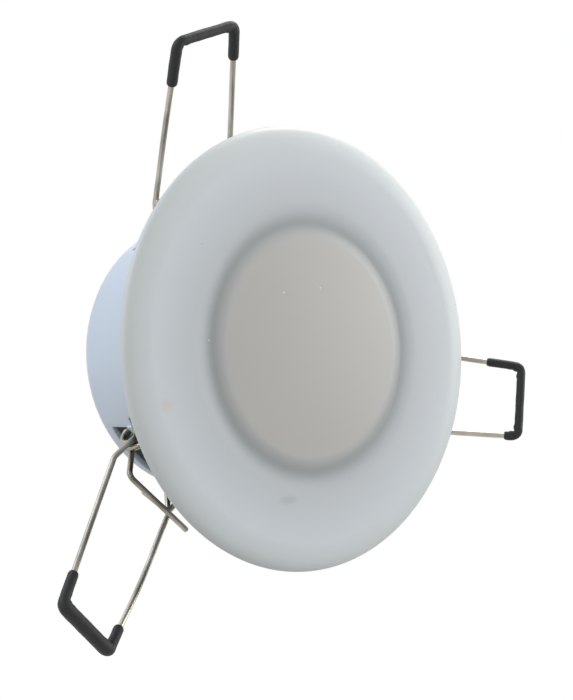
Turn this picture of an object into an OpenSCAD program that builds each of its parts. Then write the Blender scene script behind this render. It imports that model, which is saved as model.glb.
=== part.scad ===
// Recessed soffit downlight with an opal face and three wire spring clips.
// Millimetres. Z = 0 is the ceiling plane; the face looks down, along -Z.

/* [Face cover] */
// Width of the face's rim outside the collar
rim_w = 14.5; // [14:0.5:18]
// Wall thickness of the moulded face
face_wall = 2.2; // [1.6:0.1:2.6]
// Thickness of the rim at its outer edge
rim_t = 2.4; // [1.8:0.1:3]
// Width of the rolled edge, measured inwards from the rim
roll_w = 7; // [5:0.5:9]
// Height of the ring above the ceiling plane, towards the room
ring_h = 5.3; // [4.9:0.1:6.5]
// How far the ring dishes in from its rolled edge to the crease side
ring_dish = 0.25; // [0:0.05:0.6]
// Diameter of the crease between the ring and the centre
crease_d = 64.4; // [60:0.2:68]
// Height of the crease above the ceiling plane, towards the room
crease_h = 4.1; // [3.9:0.1:4.6]
// Width of the slope outside the crease
crease_slope_w = 8; // [5:0.5:10]
// Height of the domed centre at its top
dome_h = 6.7; // [6:0.1:8.5]
// Height of the dome where it turns down to the crease
dome_edge_h = 5.8; // [5.2:0.1:5.9]
// Width of the turned-down edge of the dome
dome_edge_w = 7; // [4:0.5:9]

/* [Seals] */
// How far the ceiling gasket stands proud of the rim
gasket_proud = 1.2; // [0.8:0.1:1.5]
// Depth of the gasket's groove in the back of the face
gasket_depth = 2; // [1.2:0.1:2]
// Distance of the gasket from the rim's edge
gasket_margin = 3.5; // [2:0.1:5]
// Distance of the gasket from the collar
gasket_gap = 3.6; // [3:0.1:5]
// Cord diameter of the seal ring between the face and the housing
ring_seal_d = 1.6; // [1.2:0.1:1.8]
// Thickness of the seal under the rear cap
cap_seal_t = 0.8; // [0.5:0.1:1.5]

/* [Housing] */
// Width of the collar flange that centres the lamp in its cut-out
collar_w = 5.3; // [5:0.1:7]
// Thickness of the collar flange
collar_t = 4; // [3:0.5:6]
// Diameter of the housing just behind the collar
body_front_d = 75.4; // [74.8:0.2:76]
// Diameter of the housing at its rear edge
body_rear_d = 73.2; // [72.4:0.2:74]
// Wall thickness of the housing
wall = 1.5; // [1.3:0.1:1.6]
// Rounding of the rear edge
rear_round = 3; // [2:0.5:4]
// Thickness of the rear wall
rear_wall = 1.8; // [1.5:0.1:2.5]

/* [Clip openings] */
// Azimuth of the first clip
clip_az = 0; // [0:1:119]
// Gap between the outermost turn of a coil and the end of the window
coil_side_gap = 0.6; // [0.4:0.1:1.2]
// Height of the window behind the hinge bar
window_h = 7.8; // [6.5:0.1:8.5]
// How much further the slot runs than the window at each end
slot_extra = 2.7; // [1:0.1:4]
// Height of the slot in front of the hinge bar
slot_h = 7.8; // [7.6:0.1:9]
// Height of the hinge bar left between the window and the slot
bar_h = 2.1; // [1.8:0.1:2.2]
// Thickness of the hinge bar where it runs straight through the coils
bar_t = 1.5; // [1.2:0.1:1.6]

/* [Spring clips] */
// Diameter of the spring wire
wire_d = 1.5; // [1.3:0.05:1.6]
// Mean radius of the coils
coil_r = 3.35; // [3.3:0.05:3.6]
// Distance of the hinge axis inside the housing's surface
hinge_inset = 1.4; // [1.2:0.05:1.8]
// Gap between the coils and the heat sink
coil_gap = 1.1; // [0.8:0.1:1.6]
// Height of the hinge axis behind the ceiling plane
hinge_z = 31.3; // [30.5:0.1:33]
// Distance between the turns of a coil
coil_pitch = 1.85; // [1.8:0.01:1.9]
// Distance from the clip's middle to the outermost turn of each coil
coil_outer = 10.7; // [10.6:0.05:10.8]
// Reach of the long arm from the hinge to its end bar
arm_reach = 57; // [50:0.1:66]
// Slope of the first clip's long arm at rest, down towards the ceiling
arm_slope = 18.8; // [15:0.2:24]
// Distance from the hinge to the elbow of the long arm
elbow_reach = 11.4; // [11:0.1:13]
// Width between the wires of the long arm at its end
arm_w = 20.2; // [17:0.1:22]
// Width between the wires of the long arm at its elbows
elbow_w = 24.2; // [23:0.1:25]
// Sideways offset of the long arm at the hinge
arm_offset = 1.9; // [1.6:0.1:2.6]
// Sideways lean of the long arm
arm_lean = 0.9; // [0:0.1:4]
// How far the right elbow lies above the middle of the arm, and the left one below it
elbow_rise = 1.2; // [0.8:0.1:1.6]
// The same at the end bar of the first arm
end_rise_1 = 1.8; // [-1:0.1:3]
// The same at the end bar of the second arm
end_rise_2 = -0.4; // [-1:0.1:3]
// The same at the end bar of the third arm
end_rise_3 = 1.3; // [-1:0.1:3]
// How much further the right wire of the arm reaches than the left one
arm_skew = 0.4; // [0:0.1:1.6]
// Bend radius at the elbows
elbow_bend = 3.2; // [2:0.2:4]
// Bend radius at the two corners of the end bar
corner_bend = 1.8; // [1.5:0.1:3]
// Reach of the short legs from the hinge to their crossed ends
leg_reach = 11.9; // [11.6:0.1:13.5]
// Drop of the crossed ends below the hinge, towards the ceiling
leg_drop = 5.5; // [5.2:0.1:7]
// Length of the longer crossed end
long_end = 23.4; // [18:0.2:24]
// Length of the shorter crossed end
short_end = 9.8; // [8:0.2:12]
// How far the second clip hangs below the first
hang_2 = 13.6; // [0:0.1:16]
// How far the third clip hangs below the first
hang_3 = 25.8; // [0:0.1:27]
// Outer diameter of the rubber sleeve
sleeve_d = 2.8; // [2.6:0.1:3.2]
// Length of the first sleeve along its left wire
sleeve_1_left = 9.6; // [4:0.2:16]
// Length of the first sleeve along its right wire
sleeve_1_right = 7; // [4:0.2:16]
// Length of the second sleeve along its left wire
sleeve_2_left = 8.8; // [4:0.2:16]
// Length of the second sleeve along its right wire
sleeve_2_right = 12; // [4:0.2:16]
// Length of the third sleeve along its left wire
sleeve_3_left = 4; // [4:0.2:16]
// Length of the third sleeve along its right wire
sleeve_3_right = 10; // [4:0.2:16]

/* [Heat sink and light engine] */
// Height of the heat sink's front face behind the ceiling plane
sink_z = 16.1; // [15.5:0.1:17]
// Least width of the heat sink's base outside its can
sink_step_w = 5; // [4.8:0.1:6]
// Thickness of the heat sink's base
sink_base_t = 3.5; // [2.5:0.5:4]
// Wall thickness of the can
can_wall = 1.8; // [1.2:0.1:2.2]
// Distance of the LED board's edge from the heat sink's edge
board_edge = 7.4; // [6.8:0.1:9]
// Thickness of the circuit boards
board_t = 1.6; // [1:0.1:2]
// Thickness of the thermal pad
pad_t = 0.5; // [0.3:0.1:1]
// Side of one LED package
led_side = 2.8; // [2:0.1:3.5]
// Height of one LED package
led_h = 0.8; // [0.6:0.1:1.2]
// LED packages on the outer circle
led_outer_n = 12; // [8:1:14]
// LED packages on the inner circle
led_inner_n = 6; // [4:1:7]
// Wall thickness of the reflector cup
cup_wall = 1.2; // [0.8:0.1:1.6]
// Gap between the reflector cup's mouth and the skirt of the face
cup_gap = 2.7; // [1:0.1:5]

/* [Driver] */
// Wall thickness of the driver tray and its lid
tray_wall = 1.2; // [0.8:0.1:1.5]
// Height of the driver board above the tray's floor
driver_gap = 2; // [1:0.5:3]
// Height of the room above the driver board
driver_room = 16.1; // [15:0.1:22]
// Height of the transformer
transformer_h = 12; // [8:0.5:14]
// Diameter of the electrolytic capacitor
bulk_d = 10; // [6.3:0.1:11]
// Height of the electrolytic capacitor
bulk_h = 13; // [8:0.5:14]
// Diameter of the small capacitor
output_d = 8; // [5:0.5:8]
// Height of the small capacitor
output_h = 9; // [7:0.5:12]

/* [Rear cap and cable gland] */
// Width of the rear cap's flange
cap_flange_w = 6.5; // [6:0.1:8]
// Outer radius of the rear cap's raised part
cap_r = 21.5; // [21.5:0.5:22]
// Height of the rear cap above its seal
cap_h = 9; // [8:0.5:12]
// Wall thickness of the rear cap
cap_wall = 1.8; // [1.4:0.1:2.2]
// Distance of the cable gland from the rear cap's edge
gland_edge = 12; // [11:0.1:13]
// Thread diameter of the cable gland
gland_d = 12; // [12:0.5:13]
// Bore of the gland's seal, for the cable
cable_d = 7; // [5:0.5:7.5]
// Width across flats of the gland
gland_af = 15; // [15:0.5:16]

/* [Screws and clearances] */
// Diameter of the screws
screw_d = 2.5; // [2:0.1:2.6]
// Head diameter of the screws
head_d = 4.4; // [4:0.1:4.6]
// Head height of the screws
head_h = 1.5; // [1.2:0.1:1.8]
// Radial clearance of a screw in its pilot hole
pilot_gap = 0.02; // [0.01:0.01:0.05]
// Radial clearance of a screw in the piece it passes through
through_gap = 0.2; // [0.1:0.05:0.3]
// Clearance between stationary pieces that fit in each other
fit_gap = 0.3; // [0.1:0.05:0.35]
// Gap between the rubber sleeve and the wire in it
sleeve_gap = 0.01; // [0.01:0.01:0.05]

/* [Hidden] */
round_fn = 96;
wire_sides = 8;
wire_r = wire_d / 2 * 1.03;
clip_n = 3;
hang = [0, hang_2, hang_3];
sleeve_left = [sleeve_1_left, sleeve_2_left, sleeve_3_left];
sleeve_right = [sleeve_1_right, sleeve_2_right, sleeve_3_right];
end_rise = [end_rise_1, end_rise_2, end_rise_3];

collar_d = body_front_d + 2 * collar_w;
face_d = collar_d + 2 * rim_w;

// Face
face_r = face_d / 2;
rim_back = -gasket_proud;
rim_mid = rim_back - rim_t / 2;
crease_r = crease_d / 2;
gasket_in_r = collar_d / 2 + gasket_gap;
gasket_out_r = face_r - gasket_margin;
gasket_floor = rim_back - gasket_depth;
lip_w = 2.2;
boss_r = 2.9;
fix_r = (body_front_d + collar_w) / 2;
fix_az = clip_az + 60;
pilot_depth = 3.2;

// Stack inside the housing
sink_back = sink_z + sink_base_t;
tray_z = sink_back + 0.1;
driver_z = tray_z + tray_wall + driver_gap;
parts_z = driver_z + board_t;
tray_top = parts_z + driver_room;
can_top = tray_top + tray_wall;
lid_gap = 2.2;
body_h = can_top + lid_gap + rear_wall;

// Housing
body_front_r = body_front_d / 2;
body_rear_r = body_rear_d / 2;
rib_w = 5.6;
window_len = 2 * (coil_outer + wire_d / 2 + coil_side_gap);
slot_len = window_len + 2 * slot_extra;
window_z = hinge_z + bar_h / 2;
hinge_r = body_r(hinge_z) - hinge_inset;
bar_proud = 0.35;
bar_x = sqrt(pow(body_r(hinge_z), 2) - pow(window_len / 2, 2)) + bar_proud - bar_t;
coil_out_r = coil_r + wire_d / 2;
slot_z = hinge_z - bar_h / 2 - slot_h;
skirt_top = 7;

// Heat sink, light engine and driver
sink_r = body_r(sink_back) - wall - fit_gap;
can_r = min(hinge_r - coil_out_r - coil_gap, sink_r - sink_step_w);
sink_fix_r = (can_r + fit_gap + sink_r) / 2;
board_r = sink_r - board_edge;
pad_z = sink_z - pad_t;
board_z = pad_z - board_t;
board_screw_r = board_r - 3.4;
tray_r = can_r - can_wall - fit_gap;
driver_r = tray_r - tray_wall - 0.5;
led_outer_az = 15;
film_size = [6, 12, 9];
core_size = [20, 8, transformer_h];
core_leg = 5;
core_yoke = 2;
coil_size = [core_size[0] - 2 * core_yoke - 0.4, 15, transformer_h - 2 * core_yoke - 0.4];
coil_pin_x = 5;
transformer_at = [2, 14.6 - driver_r];
bulk_at = [6, driver_r - 17.6];
output_at = [-5, driver_r - 8.1];
film_at = [9.6 - driver_r, 6];
rectifier_at = [11.6 - driver_r, -9];
rectifier_size = [7, 6, 3];
lead_r = 0.7;
lead_hole_r = 1.6;
lead_pos = [[board_screw_r - 6.1, 3], [board_screw_r - 6.1, -3]];

// Rear cap, terminal block and gland
cap_seal_z = body_h;
cap_z = cap_seal_z + cap_seal_t;
cap_top = cap_z + cap_h;
cap_flange_r = cap_r + cap_flange_w;
cap_fix_r = cap_r + cap_flange_w / 2;
cap_boss_r = 2.9;
rear_open_r = cap_r - 1;
gland_x = cap_r - gland_edge;
cap_flange_t = 2;
block_size = [11, 18, 8.6];
block_x = -8.2;
block_z = can_top;
block_poles = [-5, 5];
mains_x = block_x;
gland_r = gland_d / 2;
gland_in = 4;
gland_hex_h = 5;
gland_nut_h = 9;
gland_wall = 1.7;

// ---------- helpers ----------

function smooth(t) = t * t * (3 - 2 * t);

function mix(a, b, t) = a + (b - a) * t;

// Height of the face's front, towards the room, at radius r
function face_h(r) =
    r <= crease_r - dome_edge_w ?
        dome_h - (dome_h - dome_edge_h) * pow(r / (crease_r - dome_edge_w), 2) :
    r <= crease_r ?
        mix(dome_edge_h, crease_h, smooth((r - crease_r + dome_edge_w) / dome_edge_w)) :
    r <= crease_r + crease_slope_w ?
        mix(crease_h, ring_h - ring_dish, smooth((r - crease_r) / crease_slope_w)) :
    mix(ring_h - ring_dish, ring_h,
        (r - crease_r - crease_slope_w) / (face_r - roll_w - crease_r - crease_slope_w));

module at_each(n, start, radius) {
    for (i = [0 : n - 1])
        rotate([0, 0, start + 360 / n * i])
            translate([radius, 0, 0])
                children();
}

module ring(outer, inner, h) {
    difference() {
        cylinder(r = outer, h = h, $fn = round_fn);
        translate([0, 0, -1])
            cylinder(r = inner, h = h + 2, $fn = round_fn);
    }
}

// Screw with its seat at z = 0, its head above and its shank below
module screw(shank) {
    difference() {
        union() {
            cylinder(d = head_d, h = head_h, $fn = 32);
            translate([0, 0, -shank])
                cylinder(d = screw_d, h = shank + 0.2, $fn = 32);
        }
        for (a = [0, 90])
            rotate([0, 0, a])
                translate([-head_d / 3, -0.3, head_h - 0.7])
                    cube([head_d / 1.5, 0.6, 1]);
    }
}

// ---------- wire paths ----------

function unit(v) = v / norm(v);

// Arc of a wire bend of radius r at corner b, between points a and c
function bend(a, b, c, r, n) =
    let (u = unit(a - b), v = unit(c - b))
    let (half = acos(u * v) / 2, d = r / tan(half))
    let (centre = b + unit(u + v) * r / sin(half), p = b + u * d - centre, q = b + v * d - centre)
    let (turn = 180 - 2 * half)
    [for (i = [0 : n])
        centre + (p * sin(turn * (1 - i / n)) + q * sin(turn * i / n)) / sin(turn)];

// Arc of a coil about the hinge axis, by its angle from the outward direction.
// Over more than one turn it steps sideways where that turn doesn't touch the next.
function coil_arc(from, to, y0, y1, n) =
    let (whole = abs(to - from), over = max(whole - 360, 0))
    [for (i = [0 : n])
        let (a = mix(from, to, i / n))
        let (step = (whole * i / n - over) / (whole - 2 * over))
        [coil_r * cos(a), mix(y0, y1, min(max(step, 0), 1)), coil_r * sin(a)]];

function tangent(path, i) =
    unit(path[min(i + 1, len(path) - 1)] - path[max(i - 1, 0)]);

function carry(side, dir) = unit(side - dir * (side * dir));

function sides(path) =
    [for (i = 0, s = carry([0.3, 0.2, 0.93], tangent(path, 0));
        i < len(path);
        i = i + 1, s = carry(s, tangent(path, min(i, len(path) - 1)))) s];

function rings(path, r, n) =
    let (side = sides(path))
    [for (i = [0 : len(path) - 1])
        let (t = tangent(path, i), u = side[i], v = cross(t, u))
        for (j = [0 : n - 1])
            path[i] + r * (u * cos(360 * j / n) + v * sin(360 * j / n))];

module wire(path) {
    n = wire_sides;
    r = wire_r;
    last = len(path) - 1;
    skin = [for (i = [0 : last - 1], j = [0 : n - 1])
        [i * n + j, (i + 1) * n + j, (i + 1) * n + (j + 1) % n, i * n + (j + 1) % n]];
    polyhedron(rings(path, r, n), concat(
        [[for (j = [0 : n - 1]) j]],
        skin,
        [[for (j = [0 : n - 1]) last * n + n - 1 - j]]));
}

module tube(path, r_out, r_in) {
    n = wire_sides;
    last = len(path) - 1;
    m = (last + 1) * n;
    skin = [for (i = [0 : last - 1], j = [0 : n - 1])
        [i * n + j, (i + 1) * n + j, (i + 1) * n + (j + 1) % n, i * n + (j + 1) % n]];
    bore = [for (f = skin) [f[3] + m, f[2] + m, f[1] + m, f[0] + m]];
    front = [for (j = [0 : n - 1]) [j, (j + 1) % n, m + (j + 1) % n, m + j]];
    back = [for (f = front) [for (k = [3, 2, 1, 0]) f[k] + last * n]];
    polyhedron(concat(rings(path, r_out, n), rings(path, r_in, n)),
        concat(front, skin, bore, back));
}

// ---------- spring clip ----------
// In the clip's frame the hinge axis is Y, X points away from the lamp and Z points up.

ring_sweep = 300;
turn_steps = 15;

elbow_x = elbow_reach * cos(arm_slope);
elbow_z = -elbow_reach * sin(arm_slope);
end_x = arm_reach * cos(arm_slope);
end_z = -arm_reach * sin(arm_slope);
function lean(x) = arm_offset + x * tan(arm_lean);
function elbow_l(i) = [elbow_x - arm_skew / 2, lean(elbow_x) + elbow_w / 2, elbow_z - elbow_rise];
function elbow_r(i) = [elbow_x + arm_skew / 2, lean(elbow_x) - elbow_w / 2, elbow_z + elbow_rise];
function end_l(i) = [end_x - arm_skew / 2, lean(end_x) + arm_w / 2, end_z - end_rise[i]];
function end_r(i) = [end_x + arm_skew / 2, lean(end_x) - arm_w / 2, end_z + end_rise[i]];
inner_turn = coil_outer - 2 * coil_pitch;

function coil_point(a, y) = [coil_r * cos(a), y, coil_r * sin(a)];

// Angle about the hinge at which a wire leaves its coil to run straight to point p
function leave(p, side) = atan2(p[2], p[0]) + side * acos(coil_r / norm([p[0], p[2]]));

function arm_path(i) =
    let (front = leave(elbow_l(i), -1), rear = leave(elbow_r(i), 1))
    concat(
        coil_arc(front - ring_sweep, front, coil_outer, coil_outer, turn_steps),
        bend(coil_point(front, coil_outer), elbow_l(i), end_l(i), elbow_bend, 3),
        bend(elbow_l(i), end_l(i), end_r(i), corner_bend, 4),
        bend(end_l(i), end_r(i), elbow_r(i), corner_bend, 4),
        bend(end_r(i), elbow_r(i), coil_point(rear, -inner_turn), elbow_bend, 3),
        coil_arc(rear, rear + ring_sweep, -inner_turn, -inner_turn, turn_steps));

// The sleeve covers the end bar and a stretch of each wire
function along(a, b, d) = a + unit(b - a) * d;
function sleeve_path(i) = concat(
    [along(end_l(i), elbow_l(i), sleeve_left[i])],
    bend(elbow_l(i), end_l(i), end_r(i), corner_bend, 4),
    bend(end_l(i), end_r(i), elbow_r(i), corner_bend, 4),
    [along(end_r(i), elbow_r(i), sleeve_right[i])]);

// Short legs: the left coil's turns wind inwards, the right coil's turns wind outwards
cross_l = [leg_reach, inner_turn + 0.8, -leg_drop];
cross_l_end = cross_l + [0.2, -long_end, 0];
cross_r = [leg_reach - 1, -coil_outer + 1.8, -leg_drop + 1.6];
cross_r_end = cross_r + [0.5, short_end, 0];
left_start = 180;
left_end = 45 - 360;
right_start = 180;
right_end = 270 + 360;

coil_path_l = concat(
    coil_arc(left_start, left_end, coil_outer - coil_pitch, inner_turn, turn_steps * 2),
    bend(coil_point(left_end, inner_turn), cross_l, cross_l_end, corner_bend, 3),
    [cross_l_end]);
coil_path_r = concat(
    coil_arc(right_start, right_end, -inner_turn - coil_pitch, -coil_outer, turn_steps * 2),
    bend(coil_point(right_end, -coil_outer), cross_r, cross_r_end, corner_bend, 3),
    [cross_r_end]);

module in_clip(i) {
    rotate([0, 0, clip_az + 360 / clip_n * i])
        translate([hinge_r, 0, hinge_z])
            rotate([0, hang[i], 0])
                children();
}

module spring_coils(i) {
    color("#a9a592")
        in_clip(i) {
            wire(coil_path_l);
            wire(coil_path_r);
        }
}

module spring_arm(i) {
    color("#b8b4a2")
        in_clip(i)
            wire(arm_path(i));
}

module arm_sleeve(i) {
    color("#242625")
        in_clip(i)
            tube(sleeve_path(i), sleeve_d / 2, (wire_r + sleeve_gap) / cos(180 / wire_sides));
}

// ---------- face ----------

face_front = [for (r = [0 : 1.5 : face_r - roll_w - 0.75]) [r, -face_h(r)]];
face_roll = [for (a = [0 : 10 : 90])
    [face_r - roll_w + roll_w * sin(a), rim_mid - (ring_h + rim_mid) * cos(a)]];
face_edge = [for (a = [15 : 15 : 90])
    [face_r - rim_t / 2 + rim_t / 2 * cos(a), rim_mid + rim_t / 2 * sin(a)]];
bore_r = body_r(0) - wall;
skirt_r = body_r(skirt_top) - wall - fit_gap;
skirt_in_r = skirt_r - face_wall;
seal_z = 2;
seal_r = bore_r - ring_seal_d / 2 - 0.02;
back_step = 1.5;
face_groove = [
    [gasket_out_r + 0.1, rim_back], [gasket_out_r + 0.1, gasket_floor],
    [gasket_in_r - 0.1, gasket_floor], [gasket_in_r - 0.1, rim_back],
    [gasket_in_r - lip_w, rim_back], [gasket_in_r - lip_w, face_wall - face_h(gasket_in_r - lip_w)]];
face_ring_back = [for (r = [gasket_in_r - lip_w - back_step : -back_step : skirt_r + 0.4])
    [r, face_wall - face_h(r)]];
face_skirt = [
    [skirt_r, face_wall - face_h(skirt_r)], [skirt_r, seal_z - ring_seal_d / 2 - 0.2],
    [seal_r - ring_seal_d / 2 - 0.02, seal_z - ring_seal_d / 2 - 0.2],
    [seal_r - ring_seal_d / 2 - 0.02, seal_z + ring_seal_d / 2 + 0.2],
    [skirt_r, seal_z + ring_seal_d / 2 + 0.2], [skirt_r, skirt_top], [skirt_in_r, skirt_top],
    [skirt_in_r, face_wall - face_h(skirt_in_r)]];
face_back = [for (r = [floor((skirt_in_r - 0.4) / back_step) * back_step : -back_step : 0])
    [r, face_wall - face_h(r)]];

module face_cover() {
    color("#dfe5e5")
        difference() {
            union() {
                rotate_extrude($fn = round_fn)
                    polygon(concat(face_front, face_roll, face_edge, face_groove,
                        face_ring_back, face_skirt, face_back));
                at_each(clip_n, fix_az, fix_r)
                    translate([0, 0, -face_h(fix_r) + face_wall - 0.4])
                        cylinder(r = boss_r, h = face_h(fix_r) - face_wall + 0.4, $fn = 32);
            }
            at_each(clip_n, fix_az, fix_r)
                translate([0, 0, -pilot_depth])
                    cylinder(d = screw_d + 2 * pilot_gap, h = pilot_depth + 1, $fn = 32);
        }
}

module face_seal() {
    color("#3a3d3c")
        rotate_extrude($fn = round_fn)
            translate([seal_r, seal_z])
                circle(d = ring_seal_d, $fn = 24);
}

module ceiling_gasket() {
    color("#c9cccb")
        translate([0, 0, gasket_floor])
            ring(gasket_out_r, gasket_in_r, gasket_depth + gasket_proud);
}

module face_screws() {
    color("#c4c6c6")
        at_each(clip_n, fix_az, fix_r)
            translate([0, 0, collar_t])
                screw(collar_t + pilot_depth - 0.4);
}

// ---------- housing ----------

function body_r(z) = mix(body_front_r, body_rear_r, (z - collar_t) / (body_h - collar_t));

module body_shape(inset, floor_z, top) {
    edge = max(rear_round - inset, 0.5);
    rotate_extrude($fn = round_fn)
        polygon(concat(
            [[0, floor_z], [body_r(floor_z) - inset, floor_z]],
            [for (a = [0 : 15 : 90])
                [body_r(top) - inset - edge + edge * cos(a), top - edge + edge * sin(a)]],
            [[0, top]]));
}

module clip_openings() {
    for (i = [0 : clip_n - 1])
        rotate([0, 0, clip_az + 360 / clip_n * i]) {
            translate([can_r, -window_len / 2, window_z - bar_h - 1])
                cube([10, window_len, window_h + bar_h + 1]);
            translate([can_r, -slot_len / 2, slot_z])
                cube([10, slot_len, slot_h]);
        }
}

// Straight bars that run through the eyes of the coils
module hinge_bars() {
    at_each(clip_n, clip_az, bar_x)
        translate([0, -window_len / 2 - 0.6, window_z - bar_h])
            cube([bar_t, window_len + 1.2, bar_h]);
}

module housing() {
    color("#dfe9f0") {
        hinge_bars();
        difference() {
            union() {
                difference() {
                    union() {
                        cylinder(d = collar_d, h = collar_t, $fn = round_fn);
                        body_shape(0, collar_t, body_h);
                    }
                    translate([0, 0, -1])
                        cylinder(r = body_r(0) - wall, h = collar_t + 1, $fn = round_fn);
                    body_shape(wall, collar_t - 0.01, body_h - rear_wall);
                }
                at_each(clip_n, fix_az, cap_fix_r)
                    translate([0, 0, can_top + 0.1])
                        cylinder(r = cap_boss_r, h = body_h - 0.5 - can_top, $fn = 32);
                intersection() {
                    body_shape(wall / 2, sink_back, body_h - rear_wall / 2);
                    at_each(clip_n, fix_az, can_r + fit_gap)
                        translate([0, -rib_w / 2, sink_back])
                            cube([body_front_r, rib_w, body_h - sink_back]);
                }
            }
            translate([0, 0, body_h - 10])
                cylinder(r = rear_open_r, h = 20, $fn = round_fn);
            clip_openings();
            at_each(clip_n, fix_az, fix_r)
                translate([0, 0, -1])
                    cylinder(d = screw_d + 2 * through_gap, h = collar_t + 2, $fn = 32);
            at_each(clip_n, fix_az, sink_fix_r)
                translate([0, 0, sink_back - 1])
                    cylinder(d = screw_d + 2 * pilot_gap, h = 9, $fn = 32);
            at_each(clip_n, fix_az, cap_fix_r)
                translate([0, 0, can_top - 1])
                    cylinder(d = screw_d + 2 * pilot_gap, h = 20, $fn = 32);
        }
    }
}

// ---------- heat sink and light engine ----------

module heat_sink() {
    color("#4a4f4e")
        difference() {
            union() {
                translate([0, 0, sink_z])
                    cylinder(r = sink_r, h = sink_base_t, $fn = round_fn);
                translate([0, 0, sink_z])
                    cylinder(r = can_r, h = can_top - sink_z, $fn = round_fn);
            }
            translate([0, 0, sink_back])
                cylinder(r = can_r - can_wall, h = body_h, $fn = round_fn);
            for (p = lead_pos)
                translate([p[0], p[1], sink_z - 1])
                    cylinder(r = lead_hole_r, h = sink_base_t + 2, $fn = 32);
            at_each(clip_n, fix_az, sink_fix_r)
                translate([0, 0, sink_z - 1])
                    cylinder(d = screw_d + 2 * through_gap, h = sink_base_t + 2, $fn = 32);
            at_each(clip_n, fix_az, board_screw_r)
                translate([0, 0, sink_z - 1])
                    cylinder(d = screw_d + 2 * pilot_gap, h = sink_base_t, $fn = 32);
        }
}

module sink_screws() {
    color("#c4c6c6")
        at_each(clip_n, fix_az, sink_fix_r)
            translate([0, 0, sink_z])
                mirror([0, 0, 1])
                    screw(sink_base_t + 6);
}

module thermal_pad() {
    color("#8f9aa8")
        difference() {
            translate([0, 0, pad_z])
                cylinder(r = board_r - 0.5, h = pad_t, $fn = round_fn);
            light_engine_holes(lead_hole_r);
        }
}

module light_engine_holes(lead_r_hole) {
    at_each(clip_n, fix_az, board_screw_r)
        translate([0, 0, board_z - 2])
            cylinder(d = screw_d + 2 * through_gap, h = board_t + pad_t + 3, $fn = 32);
    for (p = lead_pos)
        translate([p[0], p[1], board_z - 1])
            cylinder(r = lead_r_hole, h = board_t + pad_t + 2, $fn = 32);
}

module led_board() {
    color("#f2f3f0")
        difference() {
            translate([0, 0, board_z])
                cylinder(r = board_r, h = board_t, $fn = round_fn);
            light_engine_holes(lead_r + 0.1);
        }
}

module led_package() {
    translate([-led_side / 2, -led_side / 2, board_z - led_h])
        cube([led_side, led_side, led_h]);
}

module led_packages() {
    color("#f0d25a") {
        at_each(led_outer_n, led_outer_az, cup_back_r - led_side - 0.4)
            led_package();
        at_each(led_inner_n, 0, cup_back_r / 2 - led_side / 2)
            led_package();
    }
}

module board_screws() {
    color("#c4c6c6")
        at_each(clip_n, fix_az, board_screw_r)
            translate([0, 0, board_z - cup_wall])
                mirror([0, 0, 1])
                    screw(cup_wall + board_t + pad_t + 2.2);
}

cup_front_z = face_wall - crease_h + 0.9;
cup_back_r = board_screw_r - 5.8;
cup_front_r = skirt_in_r - cup_gap - cup_wall;
cup_slope = (cup_front_r - cup_back_r) / (board_z - cup_front_z);

module reflector_cup() {
    color("#f7f8f8")
        difference() {
            rotate_extrude($fn = round_fn)
                polygon([
                    [cup_back_r, board_z], [board_r - 0.6, board_z],
                    [board_r - 0.6, board_z - cup_wall],
                    [cup_back_r + cup_wall + cup_slope * cup_wall, board_z - cup_wall],
                    [cup_front_r + cup_wall, cup_front_z], [cup_front_r, cup_front_z]]);
            light_engine_holes(lead_hole_r);
        }
}

// ---------- driver ----------

module driver_tray() {
    color("#e9e9e4")
        difference() {
            translate([0, 0, tray_z])
                cylinder(r = tray_r, h = tray_top - tray_z, $fn = round_fn);
            translate([0, 0, tray_z + tray_wall])
                cylinder(r = tray_r - tray_wall, h = body_h, $fn = round_fn);
            for (p = lead_pos)
                translate([p[0], p[1], tray_z - 1])
                    cylinder(r = lead_hole_r, h = tray_wall + 2, $fn = 32);
        }
    color("#e9e9e4")
        at_each(clip_n, fix_az, driver_r - 3)
            translate([0, 0, tray_z + tray_wall - 0.1])
                cylinder(r = 1.8, h = driver_gap + 0.1, $fn = 32);
}

module driver_lid() {
    color("#e9e9e4")
        difference() {
            translate([0, 0, tray_top])
                cylinder(r = tray_r, h = tray_wall, $fn = round_fn);
            for (y = block_poles)
                translate([mains_x, y, tray_top - 1])
                    cylinder(r = lead_hole_r, h = tray_wall + 2, $fn = 32);
        }
}

module driver_board() {
    color("#3f7a55")
        difference() {
            translate([0, 0, driver_z])
                cylinder(r = driver_r, h = board_t, $fn = round_fn);
            for (p = lead_pos)
                translate([p[0], p[1], driver_z - 1])
                    cylinder(r = lead_r + 0.1, h = board_t + 2, $fn = 32);
        }
}

module block_at(x, y, z, size) {
    translate([x - size[0] / 2, y - size[1] / 2, parts_z + z])
        cube(size);
}

module transformer_core() {
    x = transformer_at[0];
    y = transformer_at[1];
    opening = (core_size[0] - core_leg) / 2 - core_yoke;
    color("#3b3e42")
        difference() {
            block_at(x, y, 0, core_size);
            for (side = [-1, 1])
                block_at(x + side * (core_leg + opening) / 2, y, core_yoke,
                    [opening, core_size[1] + 2, transformer_h - 2 * core_yoke]);
        }
}

module transformer_coil() {
    x = transformer_at[0];
    y = transformer_at[1];
    color("#d9c04a")
        difference() {
            union() {
                block_at(x, y, core_yoke + 0.2, coil_size);
                for (sx = [-1, 1], sy = [-1, 1])
                    block_at(x + sx * coil_pin_x, y + sy * (coil_size[1] / 2 - 1.2), 0,
                        [2, 2, core_yoke + 0.4]);
            }
            block_at(x, y, 0, [core_leg + 0.4, core_size[1] + 0.4, transformer_h]);
        }
}

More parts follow.
